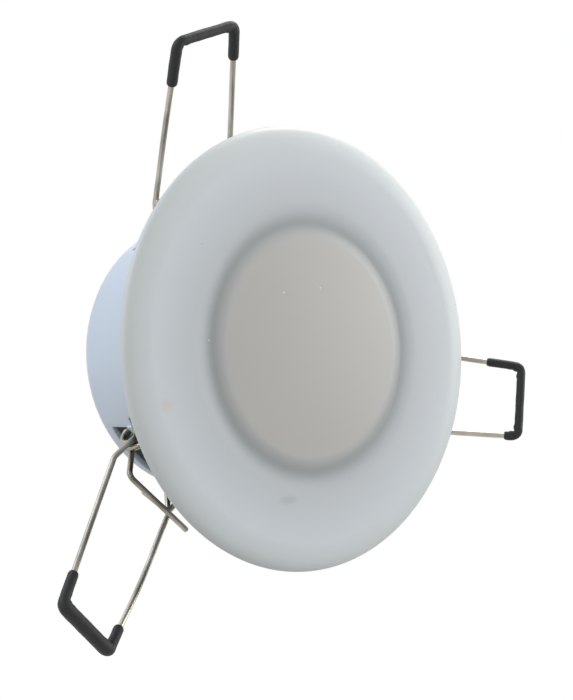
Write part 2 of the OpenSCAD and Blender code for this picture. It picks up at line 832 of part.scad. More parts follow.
module can_capacitor(at, d, h) {
    color("#2c3442")
        translate([at[0], at[1], parts_z])
            rotate_extrude($fn = 48)
                polygon([[0, 0], [d / 2 - 0.3, 0], [d / 2, 0.3], [d / 2, 1.2], [d / 2 - 0.4, 1.6],
                    [d / 2, 2], [d / 2, h - 0.5], [d / 2 - 0.5, h], [0, h]]);
}

module bulk_capacitor() {
    can_capacitor(bulk_at, bulk_d, bulk_h);
}

module output_capacitor() {
    can_capacitor(output_at, output_d, output_h);
}

module film_capacitor() {
    color("#c9a227")
        block_at(film_at[0], film_at[1], 0, film_size);
}

module rectifier() {
    color("#1d1d1f")
        block_at(rectifier_at[0], rectifier_at[1], 0, rectifier_size);
}

module led_leads() {
    color("#b3332e")
        for (p = lead_pos)
            translate([p[0], p[1], board_z])
                cylinder(r = lead_r, h = parts_z - board_z + 1, $fn = 24);
}

module mains_leads() {
    color("#7a4a2b")
        for (y = block_poles)
            translate([mains_x, y, parts_z])
                cylinder(r = lead_r, h = block_z + 1.5 - parts_z, $fn = 24);
}

module terminal_block() {
    color("#eef0ee")
        difference() {
            translate([block_x - block_size[0] / 2, -block_size[1] / 2, block_z])
                cube(block_size);
            for (y = block_poles) {
                translate([mains_x, y, block_z - 1])
                    cylinder(r = lead_r + 0.02, h = 2.5, $fn = 24);
                translate([block_x - block_size[0], y, block_z + 3.4])
                    rotate([0, 90, 0])
                        cylinder(r = 1.3, h = block_size[0] * 2, $fn = 24);
                translate([block_x, y, block_z + block_size[2] - 3])
                    cylinder(r = 1.75, h = 5, $fn = 32);
            }
        }
}

module terminal_screws() {
    color("#b9bcbc")
        for (y = block_poles)
            translate([block_x, y, block_z + block_size[2] - 3])
                difference() {
                    cylinder(r = 1.72, h = 2.2, $fn = 32);
                    translate([-2, -0.3, 1.5])
                        cube([4, 0.6, 1]);
                }
}

// ---------- rear cap and gland ----------

module cap_seal() {
    color("#3a3d3c")
        difference() {
            translate([0, 0, cap_seal_z])
                ring(cap_flange_r - 0.5, rear_open_r + 0.2, cap_seal_t);
            at_each(clip_n, fix_az, cap_fix_r)
                translate([0, 0, cap_seal_z - 1])
                    cylinder(d = screw_d + 2 * through_gap, h = cap_seal_t + 2, $fn = 32);
        }
}

module rear_cap() {
    color("#dfe9f0")
        difference() {
            union() {
                translate([0, 0, cap_z])
                    cylinder(r = cap_flange_r, h = cap_flange_t, $fn = round_fn);
                rotate_extrude($fn = round_fn)
                    polygon(concat([[0, cap_z], [cap_r, cap_z]],
                        [for (a = [0 : 15 : 90])
                            [cap_r - 2 + 2 * cos(a), cap_top - 2 + 2 * sin(a)]],
                        [[0, cap_top]]));
            }
            translate([0, 0, cap_z - 1])
                cylinder(r = cap_r - cap_wall, h = cap_h + 1 - cap_wall, $fn = round_fn);
            at_each(clip_n, fix_az, cap_fix_r)
                translate([0, 0, cap_z - 1])
                    cylinder(d = screw_d + 2 * through_gap, h = cap_flange_t + 2, $fn = 32);
            translate([gland_x, 0, cap_z])
                cylinder(d = gland_d + 2 * pilot_gap, h = cap_h + 1, $fn = 64);
        }
}

module cap_screws() {
    color("#c4c6c6")
        at_each(clip_n, fix_az, cap_fix_r)
            translate([0, 0, cap_z + cap_flange_t])
                screw(cap_flange_t + cap_seal_t + body_h - can_top - 0.6);
}

module gland_body() {
    color("#eceeee")
        translate([gland_x, 0, cap_top])
            difference() {
                union() {
                    cylinder(d = gland_af / cos(30), h = gland_hex_h, $fn = 6);
                    translate([0, 0, -gland_in])
                        cylinder(d = gland_d, h = gland_in + 1, $fn = 64);
                    translate([0, 0, gland_hex_h - 0.5])
                        cylinder(d = gland_d, h = 5.5, $fn = 64);
                }
                translate([0, 0, -gland_in - 1])
                    cylinder(r = gland_r - gland_wall, h = gland_in + gland_hex_h + 8, $fn = 64);
            }
}

module gland_seal() {
    color("#303332")
        translate([gland_x, 0, cap_top + gland_hex_h])
            difference() {
                cylinder(r = gland_r - gland_wall - 0.05, h = 6, $fn = 64);
                translate([0, 0, -1])
                    cylinder(d = cable_d, h = 8, $fn = 64);
            }
}

module gland_nut() {
    color("#eceeee")
        translate([gland_x, 0, cap_top + gland_hex_h + 0.2])
            difference() {
                union() {
                    cylinder(d = gland_af / cos(30), h = gland_nut_h - 3, $fn = 6);
                    rotate_extrude($fn = 64)
                        polygon(concat([[0, 1], [gland_af / 2 - 0.2, 1]],
                            [for (a = [0 : 15 : 90])
                                [gland_af / 2 - 2.2 + 2 * cos(a), gland_nut_h - 2 + 2 * sin(a)]],
                            [[0, gland_nut_h]]));
                }
                translate([0, 0, -1])
                    cylinder(d = gland_d + 0.1, h = gland_nut_h - 1.2, $fn = 64);
                cylinder(d = cable_d + 0.6, h = 2 * gland_nut_h, $fn = 64);
            }
}

face_cover();
ceiling_gasket();
face_seal();
face_screws();
reflector_cup();
led_board();
led_packages();
board_screws();
thermal_pad();
heat_sink();
sink_screws();
driver_tray();
driver_lid();
driver_board();
transformer_core();
transformer_coil();
bulk_capacitor();
output_capacitor();
film_capacitor();
rectifier();
led_leads();
mains_leads();
terminal_block();
terminal_screws();
housing();
cap_seal();
rear_cap();
cap_screws();
gland_body();
gland_seal();
gland_nut();
spring_coils(0);  // spring_coils_1
spring_coils(1);  // spring_coils_2
spring_coils(2);  // spring_coils_3
spring_arm(0);  // spring_arm_1
spring_arm(1);  // spring_arm_2
spring_arm(2);  // spring_arm_3
arm_sleeve(0);  // arm_sleeve_1
arm_sleeve(1);  // arm_sleeve_2
arm_sleeve(2);  // arm_sleeve_3
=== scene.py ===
# Recessed soffit downlight: a one-piece opal face, a white housing and three sprung
# wire clips in black rubber sleeves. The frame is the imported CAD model, in metres.
import bpy
import bmesh
import math
from mathutils import Matrix, Vector


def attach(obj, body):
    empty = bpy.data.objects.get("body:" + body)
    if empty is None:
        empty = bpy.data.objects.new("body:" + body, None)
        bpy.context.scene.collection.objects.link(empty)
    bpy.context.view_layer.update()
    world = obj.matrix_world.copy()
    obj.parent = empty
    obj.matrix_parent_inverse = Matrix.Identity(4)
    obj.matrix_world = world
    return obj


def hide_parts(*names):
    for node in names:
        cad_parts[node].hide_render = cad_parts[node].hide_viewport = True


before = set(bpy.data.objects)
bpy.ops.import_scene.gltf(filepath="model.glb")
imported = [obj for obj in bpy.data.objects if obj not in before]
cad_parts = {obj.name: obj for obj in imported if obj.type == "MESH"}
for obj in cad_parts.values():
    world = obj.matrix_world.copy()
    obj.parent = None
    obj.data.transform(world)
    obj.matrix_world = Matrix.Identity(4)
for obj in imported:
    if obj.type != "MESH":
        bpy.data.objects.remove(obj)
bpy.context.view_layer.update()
MM = 0.001

# ---------- sizes, in millimetres, as in the part's source ----------

FACE_R = 57.5
FACE_WALL = 2.2
RIM_T = 2.4
ROLL_W = 7.0
RING_H = 5.3
RING_DISH = 0.25
CREASE_R = 32.2
# the crease and the disc's edge are drawn narrower here than in the part, and the crease shallower,
# as the photograph shows them
CREASE_H = 4.7
CREASE_SLOPE_W = 6.0
DOME_H = 6.7
DOME_EDGE_H = 5.6
DOME_EDGE_W = 4.0
GASKET_PROUD = 1.2
GASKET_DEPTH = 2.0
GASKET_IN_R = 46.6
GASKET_OUT_R = 54.0

COLLAR_R = 43.0
COLLAR_T = 4.0
BODY_FRONT_R = 37.7
BODY_REAR_R = 36.6
BODY_H = 45.8
WALL = 1.5
REAR_WALL = 1.8
REAR_ROUND = 3.0
REAR_OPEN_R = 20.5
FIX_R = 40.35

HINGE_Z = 31.3
HINGE_INSET = 1.4
WINDOW_HALF = 12.05
WINDOW_TOP = 40.15
SLOT_HALF = 14.75
SLOT_BOTTOM = 22.45
SLOT_TOP = 30.25
BAR_H = 2.1
BAR_T = 1.5
BAR_PROUD = 0.35

WIRE_R = 0.765
COIL_R = 3.35
COIL_PITCH = 1.85
COIL_OUTER = 10.7
ARM_REACH = 57.0
ARM_SLOPE = math.radians(18.8)
ELBOW_REACH = 11.4
ELBOW_W = 24.2
ARM_W = 20.2
ARM_OFFSET = 1.9
ARM_LEAN = math.radians(0.9)
ARM_SKEW = 0.4
ELBOW_RISE = 1.2
ELBOW_BEND = 3.2
CORNER_BEND = 1.8
LEG_REACH = 11.9
LEG_DROP = 5.5
LONG_END = 23.4
SHORT_END = 9.8
# for each clip in turn: the roll of its long arm's end, how far it hangs at rest, how far the arm's right
# side bows out, and its sleeve's radius on the legs and on the end bar and reach along both legs
END_RISE = [1.8, -0.4, 1.3]
HANG = [0.0, math.radians(13.6), math.radians(25.8)]
WIRE_BOW = [0.6, 0.2, 0.0]
SLEEVE_LEG_R = [1.38, 1.42, 1.22]
SLEEVE_BAR_R = [1.85, 1.32, 1.2]
SLEEVE_LEGS = [(9.6, 7.8), (9.7, 12.0), (4.0, 10.0)]

SINK_Z = 16.1
SINK_BACK = 19.6
SINK_R = 35.5
CAN_R = 30.38
CAN_WALL = 1.8
CAN_TOP = 41.8

CAP_SEAL_T = 0.8
CAP_Z = BODY_H + CAP_SEAL_T
CAP_TOP = CAP_Z + 9.0
CAP_R = 21.5
CAP_FLANGE_R = 28.0
CAP_FLANGE_T = 2.0
CAP_WALL = 1.8
CAP_FIX_R = 24.75
GLAND_X = 9.5
GLAND_R = 6.0
GLAND_AF = 15.0
GLAND_HEX_H = 5.0
GLAND_NUT_H = 9.0
CABLE_R = 3.5

SCREW_D = 2.5
HEAD_R = 2.2
HEAD_H = 1.5


def smooth_step(t):
    t = min(max(t, 0.0), 1.0)
    return t * t * (3 - 2 * t)


def mix(a, b, t):
    return a + (b - a) * t


def face_height(r):
    """Height of the face's front above the ceiling plane, towards the room."""
    if r <= CREASE_R - DOME_EDGE_W:
        return DOME_H - (DOME_H - DOME_EDGE_H) * (r / (CREASE_R - DOME_EDGE_W)) ** 2
    if r <= CREASE_R:
        return mix(DOME_EDGE_H, CREASE_H, smooth_step((r - CREASE_R + DOME_EDGE_W) / DOME_EDGE_W))
    ring = RING_H - RING_DISH
    if r <= CREASE_R + CREASE_SLOPE_W:
        return mix(CREASE_H, ring, smooth_step((r - CREASE_R) / CREASE_SLOPE_W))
    return mix(ring, RING_H, (r - CREASE_R - CREASE_SLOPE_W)
               / (FACE_R - ROLL_W - CREASE_R - CREASE_SLOPE_W))


def body_r(z):
    """Radius of the housing's tapered wall at a height."""
    return mix(BODY_FRONT_R, BODY_REAR_R, (z - COLLAR_T) / (BODY_H - COLLAR_T))


HINGE_R = body_r(HINGE_Z) - HINGE_INSET
BORE_R = body_r(0) - WALL

# ---------- node and colour helpers ----------


def per_mm(size):
    """The scale of a pattern whose parts are about size mm across."""
    return 1 / (size * MM)


def colour(code):
    """An sRGB hex colour as linear RGBA."""
    parts = [int(code[i:i + 2], 16) / 255 for i in (1, 3, 5)]
    return [p / 12.92 if p <= 0.04045 else ((p + 0.055) / 1.055) ** 2.4 for p in parts] + [1.0]


def add_node(tree, kind, inputs=None, **settings):
    """Adds one node. Settings are its attributes; inputs are values or the sockets that feed it."""
    made = tree.nodes.new(kind)
    for key, value in settings.items():
        setattr(made, key, value)
    for key, value in (inputs or {}).items():
        if isinstance(value, bpy.types.NodeSocket):
            tree.links.new(value, made.inputs[key])
        else:
            made.inputs[key].default_value = value
    return made


def new_material(name, shown):
    """An empty material, its node tree and the object coordinates that its patterns read."""
    made = bpy.data.materials.new(name)
    made.use_nodes = True
    made.diffuse_color = colour(shown)
    tree = made.node_tree
    tree.nodes.clear()
    return made, tree, add_node(tree, "ShaderNodeTexCoord").outputs["Object"]


def close_material(tree, shader):
    """Shows a shader on the material's surface."""
    add_node(tree, "ShaderNodeOutputMaterial", {"Surface": shader.outputs[0]})


def two_tone(tree, share, tones, pattern, dull, relief=None, **surface):
    """The end of a plain finish: two tones mixed by a share, a roughness between two values that
    follows a pattern, and a relief given as its height, strength and depth in mm."""
    tone = add_node(tree, "ShaderNodeMix", {0: share, 6: colour(tones[0]), 7: colour(tones[1])},
                    data_type="RGBA")
    gloss = add_node(tree, "ShaderNodeMapRange", {"Value": pattern, 3: dull[0], 4: dull[1]})
    inputs = {"Base Color": tone.outputs[2], "Roughness": gloss.outputs[0], **surface}
    if relief:
        height, strength, depth = relief
        skin = add_node(tree, "ShaderNodeBump",
                        {"Height": height, "Strength": strength, "Distance": depth * MM})
        inputs["Normal"] = skin.outputs[0]
    close_material(tree, add_node(tree, "ShaderNodeBsdfPrincipled", inputs))


# ---------- materials ----------

# the face's tone by distance from the middle in mm: warm disc; a narrow grey crease that is painted shade in
# the crease's hollow; a cool ring that grows lighter outwards as that painted shade fades; paler rim, its
# outer edge painted a little darker as shade
FACE_TONES_AND_SHADE = [(0, "#C1BEB8"), (24, "#C1BEB8"), (28.5, "#C1C0BC"), (30.2, "#BCBEBC"), (32.0, "#979C9C"),
              (33.4, "#A6ABAC"), (35.2, "#BFC4C6"), (38, "#C9CED0"), (42, "#CED3D6"), (46, "#D3D8DB"),
              (51, "#D9DFE1"), (54.5, "#DFE4E4"), (57, "#D9DDDB")]
TONES_END = 60.0
# marks left on the face by moulding and handling: centre, size across and along in mm, colour, strength
FACE_MARKS = [((35.7, -17.5, -5.1), 4.4, 1.6, "#A9B0B2", 0.42),
              ((40.3, 27.0, -5.2), 3.2, 2.4, "#D6C8BE", 0.40),
              ((-4.6, 16.3, -6.3), 0.35, 0.35, "#FFFFFF", 0.8),
              ((-13.6, 7.7, -6.3), 0.3, 0.3, "#FFFFFF", 0.7),
              ((19.5, 26.4, -4.7), 0.3, 0.3, "#F4F6F6", 0.7),
              ((2.3, 42.8, -5.1), 0.28, 0.28, "#8A8F8F", 0.7),
              ((-43.9, -34.1, -4.4), 0.3, 0.3, "#7F8484", 0.8)]
# turns a mark's first size to the photograph's level direction
MARK_TURN = math.radians(47)


def opal_polycarbonate():
    """Moulded opal polycarbonate with a satin skin: a soft sheen, a fine spark-eroded grain, and a centre
    that looks a little warmer and darker, because the reflector cup shows behind it. Its tones also hold
    painted shade in the crease and the ring round it."""
    made, tree, place = new_material("opal_polycarbonate", "#D9DFE0")
    flat = add_node(tree, "ShaderNodeVectorMath", {0: place, 1: (1, 1, 0)}, operation="MULTIPLY")
    radius = add_node(tree, "ShaderNodeVectorMath", {0: flat.outputs[0]}, operation="LENGTH")
    share = add_node(tree, "ShaderNodeMath", {0: radius.outputs["Value"], 1: TONES_END * MM},
                     operation="DIVIDE")
    # the ramp paints shade into the crease and the ring round it, and onto the rim's outer edge, on top of
    # the face's own tones
    tone_and_shade_ramp = add_node(tree, "ShaderNodeValToRGB", {0: share.outputs[0]})
    tone_and_shade_ramp.color_ramp.interpolation = "B_SPLINE"
    while len(tone_and_shade_ramp.color_ramp.elements) < len(FACE_TONES_AND_SHADE):
        tone_and_shade_ramp.color_ramp.elements.new(0.5)
    for element, (at, code) in zip(tone_and_shade_ramp.color_ramp.elements, FACE_TONES_AND_SHADE):
        element.position = at / TONES_END
        element.color = colour(code)
    # slow, cloudy change of tone, about 18 mm across, where the wall's thickness varies
    cloud = add_node(tree, "ShaderNodeTexNoise", {"Vector": place, "Scale": per_mm(18.18), "Detail": 2.0})
    shade = add_node(tree, "ShaderNodeMapRange", {"Value": cloud.outputs[0], 3: 0.975, 4: 1.02})
    tone = add_node(tree, "ShaderNodeVectorMath", {0: tone_and_shade_ramp.outputs[0], "Scale": shade.outputs[0]},
                    operation="SCALE").outputs[0]
    for centre, across, along, code, strength in FACE_MARKS:
        spot = add_node(tree, "ShaderNodeMapping",
                        {"Vector": place, "Location": Vector(centre) * MM, "Rotation": (0, 0, MARK_TURN),
                         "Scale": Vector((across, along, along)) * MM}, vector_type="TEXTURE")
        far = add_node(tree, "ShaderNodeVectorMath", {0: spot.outputs[0]}, operation="LENGTH")
        amount = add_node(tree, "ShaderNodeMapRange",
                          {"Value": far.outputs["Value"], 1: 0.15, 2: 1.0, 3: strength, 4: 0.0},
                          interpolation_type="SMOOTHSTEP")
        tone = add_node(tree, "ShaderNodeMix", {0: amount.outputs[0], 6: tone, 7: colour(code)},
                        data_type="RGBA").outputs[2]
    # the spark-eroded grain of the mould is about 0.1 mm; drawn at 0.5 mm so that it shows
    grain = add_node(tree, "ShaderNodeTexNoise", {"Vector": place, "Scale": per_mm(0.5), "Detail": 3.0})
    skin = add_node(tree, "ShaderNodeBump",
                    {"Height": grain.outputs[0], "Strength": 0.06, "Distance": 0.2 * MM})
    gloss = add_node(tree, "ShaderNodeMapRange", {"Value": cloud.outputs[0], 3: 0.40, 4: 0.50})
    close_material(tree, add_node(tree, "ShaderNodeBsdfPrincipled",
                                  {"Base Color": tone, "Roughness": gloss.outputs[0], "IOR": 1.58,
                                   "Normal": skin.outputs[0]}))
    return made


def white_polycarbonate():
    """White flame-retardant polycarbonate, moulded: cool white, a low sheen with faint flow lines round the
    wall, and sharp edges painted a little lighter as a highlight."""
    made, tree, place = new_material("white_polycarbonate", "#DCE7F0")
    # flow lines about 2.4 mm apart up the wall, and 17 mm long
    flow_place = add_node(tree, "ShaderNodeMapping",
                          {"Vector": place, "Scale": (per_mm(16.67), per_mm(16.67), per_mm(2.381))})
    flow = add_node(tree, "ShaderNodeTexNoise",
                    {"Vector": flow_place.outputs[0], "Scale": 1.0, "Detail": 3.0})
    cloud = add_node(tree, "ShaderNodeTexNoise", {"Vector": place, "Scale": per_mm(22.22), "Detail": 2.0})
    base = add_node(tree, "ShaderNodeMix",
                    {0: cloud.outputs[0], 6: colour("#D2DDE9"), 7: colour("#DCE6F1")}, data_type="RGBA")
    # painted highlight: convex edges, found by their pointiness, are mixed towards a paler white
    painted_edge_highlight = add_node(tree, "ShaderNodeNewGeometry")
    edge = add_node(tree, "ShaderNodeMapRange",
                    {"Value": painted_edge_highlight.outputs["Pointiness"], 1: 0.53, 2: 0.60, 3: 0.0, 4: 0.35})
    tone = add_node(tree, "ShaderNodeMix",
                    {0: edge.outputs[0], 6: base.outputs[2], 7: colour("#EEF3F6")}, data_type="RGBA")
    gloss = add_node(tree, "ShaderNodeMapRange", {"Value": flow.outputs[0], 3: 0.34, 4: 0.46})
    grain = add_node(tree, "ShaderNodeTexNoise", {"Vector": place, "Scale": per_mm(0.667), "Detail": 2.0})
    skin = add_node(tree, "ShaderNodeBump",
                    {"Height": grain.outputs[0], "Strength": 0.05, "Distance": 0.2 * MM})
    lines = add_node(tree, "ShaderNodeBump",
                     {"Height": flow.outputs[0], "Strength": 0.05, "Distance": 0.6 * MM,
                      "Normal": skin.outputs[0]})
    close_material(tree, add_node(tree, "ShaderNodeBsdfPrincipled",
                                  {"Base Color": tone.outputs[2], "Roughness": gloss.outputs[0],
                                   "IOR": 1.58, "Normal": lines.outputs[0]}))
    return made


def spring_steel():
    """Nickel-plated drawn spring wire: warm grey metal, smooth, with fine die lines and duller olive
    stretches that are painted dark reflection."""
    made, tree, place = new_material("spring_steel", "#A8A392")
    # the darker olive patches are painted reflection of dark surroundings in the base colour, and are also a
    # little rougher
    painted_reflection_patch = add_node(tree, "ShaderNodeTexNoise",
                     {"Vector": place, "Scale": per_mm(11.11), "Detail": 2.0}).outputs[0]
    grain = add_node(tree, "ShaderNodeTexNoise",
                     {"Vector": place, "Scale": per_mm(1.667), "Detail": 1.0}).outputs[0]
    share = add_node(tree, "ShaderNodeMapRange", {"Value": painted_reflection_patch, 1: 0.36, 2: 0.70}).outputs[0]
    two_tone(tree, share, ("#C4BEB1", "#857F70"), painted_reflection_patch, (0.24, 0.36), (grain, 0.01, 0.2), Metallic=1.0)
    return made


def sleeve_rubber():
    """Soft black rubber tube pushed over the wire: satin black, a little grey bloom and fine
    wrinkles, rubbed smoother on its outside."""
    made, tree, place = new_material("sleeve_rubber", "#26282A")
    bloom = add_node(tree, "ShaderNodeTexNoise",
                     {"Vector": place, "Scale": per_mm(3.846), "Detail": 4.0}).outputs[0]
    grain = add_node(tree, "ShaderNodeTexNoise",
                     {"Vector": place, "Scale": per_mm(0.909), "Detail": 4.0}).outputs[0]
    share = add_node(tree, "ShaderNodeMapRange", {"Value": bloom, 1: 0.42, 2: 0.68}).outputs[0]
    two_tone(tree, share, ("#0C0E0D", "#1B1E1C"), bloom, (0.50, 0.68), (grain, 0.35, 0.3), IOR=1.52)
    return made


def gasket_foam():
    """Closed-cell foam, die cut: pale grey and matte, with small open cells on the cut face."""
    made, tree, place = new_material("gasket_foam", "#C3C7C6")
    # the cells are about 0.4 mm; drawn at 0.7 mm so that they show
    cells = add_node(tree, "ShaderNodeTexVoronoi", {"Vector": place, "Scale": per_mm(0.714)}).outputs[0]
    cloud = add_node(tree, "ShaderNodeTexNoise", {"Vector": place, "Scale": per_mm(8.333)}).outputs[0]
    two_tone(tree, cloud, ("#B4B9B8", "#CBCFCE"), cells, (0.75, 0.92), (cells, 0.3, 0.2), IOR=1.45)
    return made


def zinc_plated_steel():
    """Bright zinc-plated screw steel: light blue-grey metal, slightly cloudy from the plating."""
    made, tree, place = new_material("zinc_plated_steel", "#BFC3C4")
    cloud = add_node(tree, "ShaderNodeTexNoise",
                     {"Vector": place, "Scale": per_mm(1.111), "Detail": 3.0}).outputs[0]
    two_tone(tree, cloud, ("#A9AEB1", "#CED1D0"), cloud, (0.24, 0.42), Metallic=1.0)
    return made


def anodised_aluminium():
    """Black-anodised turned aluminium: dark grey-green, matte, with fine turning lines round it."""
    made, tree, place = new_material("anodised_aluminium", "#343B3B")
    # turning lines are about 0.1 mm apart; drawn at 0.6 mm so that they show
    lathe = add_node(tree, "ShaderNodeMapping",
                     {"Vector": place, "Scale": (per_mm(33.33), per_mm(33.33), per_mm(0.625))}).outputs[0]
    lines = add_node(tree, "ShaderNodeTexNoise", {"Vector": lathe, "Scale": 1.0, "Detail": 2.0}).outputs[0]
    two_tone(tree, lines, ("#2B3232", "#3C4444"), lines, (0.42, 0.58), (lines, 0.15, 0.3), Metallic=0.6)
    return made


def plain_finish(name, low, high, grain_mm, dull, depth, index=1.5):
    """A finish of two near tones in a grain of the given size. Dull is the two roughnesses, depth
    the strength of the grain's relief."""
    made, tree, place = new_material(name, low)
    grain = add_node(tree, "ShaderNodeTexNoise",
                     {"Vector": place, "Scale": per_mm(grain_mm), "Detail": 3.0}).outputs[0]
    share = add_node(tree, "ShaderNodeMapRange", {"Value": grain, 1: 0.35, 2: 0.65}).outputs[0]
    two_tone(tree, share, (low, high), grain, dull, (grain, depth, 0.3), IOR=index)
    return made


opal = opal_polycarbonate()
shell = white_polycarbonate()
spring = spring_steel()
rubber = sleeve_rubber()
foam = gasket_foam()
zinc = zinc_plated_steel()
sink_finish = anodised_aluminium()
# moulded nylon: slightly warm light grey, waxy
nylon = plain_finish("moulded_nylon", "#D3D6D4", "#E0E2DF", 4.0, (0.38, 0.5), 0.1, index=1.53)
# silicone seals: dark grey, dull, faint mould bloom
seal_finish = plain_finish("silicone_seal", "#2B2E2D", "#3C403F", 2.0, (0.55, 0.7), 0.15, index=1.41)
# white polypropylene reflector: bright, smooth, slight gloss
reflector_finish = plain_finish("reflector_polypropylene", "#EEF0F0", "#F6F7F7", 6.0, (0.3, 0.4), 0.05)
# white solder mask over aluminium-cored board: glassy, with the faint relief of the tracks under it
board_white = plain_finish("white_solder_mask", "#E4E6E2", "#F0F1EC", 1.6, (0.25, 0.4), 0.2)
# phosphor-filled silicone over the LED dies: warm yellow, slightly grainy
phosphor = plain_finish("phosphor_silicone", "#E3BB3B", "#F1D468", 0.4, (0.4, 0.6), 0.2, index=1.41)
# filled silicone pad: soft grey-blue, chalky
pad_finish = plain_finish("thermal_silicone", "#818B98", "#97A1AC", 0.7, (0.75, 0.9), 0.3, index=1.41)
# moulded flame-retardant tray plastic: off-white, matte
tray_finish = plain_finish("tray_polycarbonate", "#DDDDD6", "#E8E8E2", 3.0, (0.5, 0.62), 0.1)
# glass-epoxy board under green solder mask: the weave shows faintly
board_green = plain_finish("green_solder_mask", "#2C6A43", "#3D8358", 0.9, (0.28, 0.42), 0.25)
# sintered ferrite: nearly black, fine and matte, with pale chips
ferrite = plain_finish("sintered_ferrite", "#2E3033", "#43464A", 0.8, (0.6, 0.75), 0.3)
# polyester tape round the winding: glossy yellow film, pulled tight
tape = plain_finish("polyester_tape", "#CDB036", "#E0C655", 3.0, (0.18, 0.3), 0.15, index=1.6)
# printed shrink film on aluminium cans: dark blue, glossy
can_finish = plain_finish("shrink_film", "#222B3A", "#303B4D", 2.5, (0.22, 0.34), 0.08, index=1.55)
# epoxy-filled film capacitor box: mustard, smooth
film_finish = plain_finish("epoxy_box", "#B5901F", "#C9A637", 2.0, (0.3, 0.42), 0.1, index=1.55)
# moulded black epoxy: slightly grey, ground matte by the mould
epoxy = plain_finish("black_epoxy", "#18181A", "#252527", 0.8, (0.5, 0.65), 0.25, index=1.55)
# PVC-insulated leads: red and brown, waxy
red_pvc = plain_finish("red_pvc", "#A52A26", "#BC3D36", 2.0, (0.35, 0.5), 0.1, index=1.53)
brown_pvc = plain_finish("brown_pvc", "#6B3F24", "#805034", 2.0, (0.35, 0.5), 0.1, index=1.53)

# ---------- mesh helpers ----------


def linked(name, data):
    """A new object of the scene for a mesh, curve, camera or light."""
    made = bpy.data.objects.new(name, data)
    bpy.context.collection.objects.link(made)
    return made


def object_from(mesh, name, finish, body, slot, crisp=38):
    """An object from a mesh in metres, smooth except over edges sharper than the given angle."""
    mesh.materials.clear()
    mesh.materials.append(finish)
    mesh.shade_smooth()
    mesh.set_sharp_from_angle(angle=math.radians(crisp))
    made = linked(name, mesh)
    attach(made, body)
    return made


def mesh_from(name, points, faces):
    """A mesh from points in millimetres, its doubles merged and its faces pointing outwards."""
    made = bpy.data.meshes.new(name)
    made.from_pydata([Vector(p) * MM for p in points], [], faces)
    work = bmesh.new()
    work.from_mesh(made)
    bmesh.ops.remove_doubles(work, verts=work.verts, dist=1e-7)
    bmesh.ops.recalc_face_normals(work, faces=work.faces)
    work.to_mesh(made)
    work.free()
    made.validate()
    return made


def turned(outline, steps=192, at=(0.0, 0.0)):
    """Points and faces of a closed outline of (radius, height) turned about an upright axis."""
    points, faces = [], []
    count = len(outline)
    for i in range(steps):
        angle = 2 * math.pi * i / steps
        for r, z in outline:
            points.append((at[0] + r * math.cos(angle), at[1] + r * math.sin(angle), z))
    for i in range(steps):
        j = (i + 1) % steps
        for k in range(count):
            m = (k + 1) % count
            a, b = outline[k][0] < 1e-6, outline[m][0] < 1e-6
            if a and b:
                continue
            if a:
                faces.append((i * count + k, j * count + m, i * count + m))
            elif b:
                faces.append((i * count + k, j * count + k, i * count + m))
            else:
                faces.append((i * count + k, j * count + k, j * count + m, i * count + m))
    return points, faces


def joined(*shapes):
    """Points and faces of several shapes as one."""
    points, faces = [], []
    for more_points, more_faces in shapes:
        base = len(points)
        points += more_points
        faces += [tuple(v + base for v in f) for f in more_faces]
    return points, faces


def arc(centre, radius, start, stop, steps):
    """Outline points of an arc, by angles in degrees from the radial direction."""
    turns = [math.radians(mix(start, stop, i / steps)) for i in range(steps + 1)]
    return [(centre[0] + radius * math.cos(a), centre[1] + radius * math.sin(a)) for a in turns]


def piece(node, name, shape, finish, slot, crisp=38):
    """A fixed piece of the lamp from its points and faces, in the place of a CAD node."""
    made = object_from(mesh_from(name, *shape), name, finish, "lamp", slot, crisp)
    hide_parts(node)


# where the three clips lie round the lamp and, halfway between them, the screws and ribs
CLIP_TURNS = [math.radians(120 * i) for i in range(3)]
FIX_TURNS = [math.radians(60 + 120 * i) for i in range(3)]

# ---------- face, gasket and seals ----------

GASKET_PLAY = 0.1
GASKET_EDGE = 0.35
GROOVE_WALL = 2.2
SKIRT_TOP = 7.0
SKIRT_PLAY = 0.3
SEAL_R = 0.8
SEAL_ROOM = 0.82
SEAL_LOW = 1.0
SEAL_HIGH = 3.0
BOSS_R = 2.9
BOSS_BORE_R = 1.27
BOSS_END = -0.1
rim_z = -GASKET_PROUD - RIM_T / 2
groove_floor = -GASKET_PROUD - GASKET_DEPTH
skirt_r = body_r(SKIRT_TOP) - WALL - SKIRT_PLAY
skirt_in = skirt_r - FACE_WALL
seal_at = BORE_R - SEAL_ROOM


def face_back(r):
    """Point of the face's back at a radius, one wall behind its front."""
    return r, FACE_WALL - face_height(r)


def back_run(start, stop):
    """Points of the face's back, one each millimetre inwards from start until stop."""
    return [face_back(start - i) for i in range(math.ceil(start - stop))]


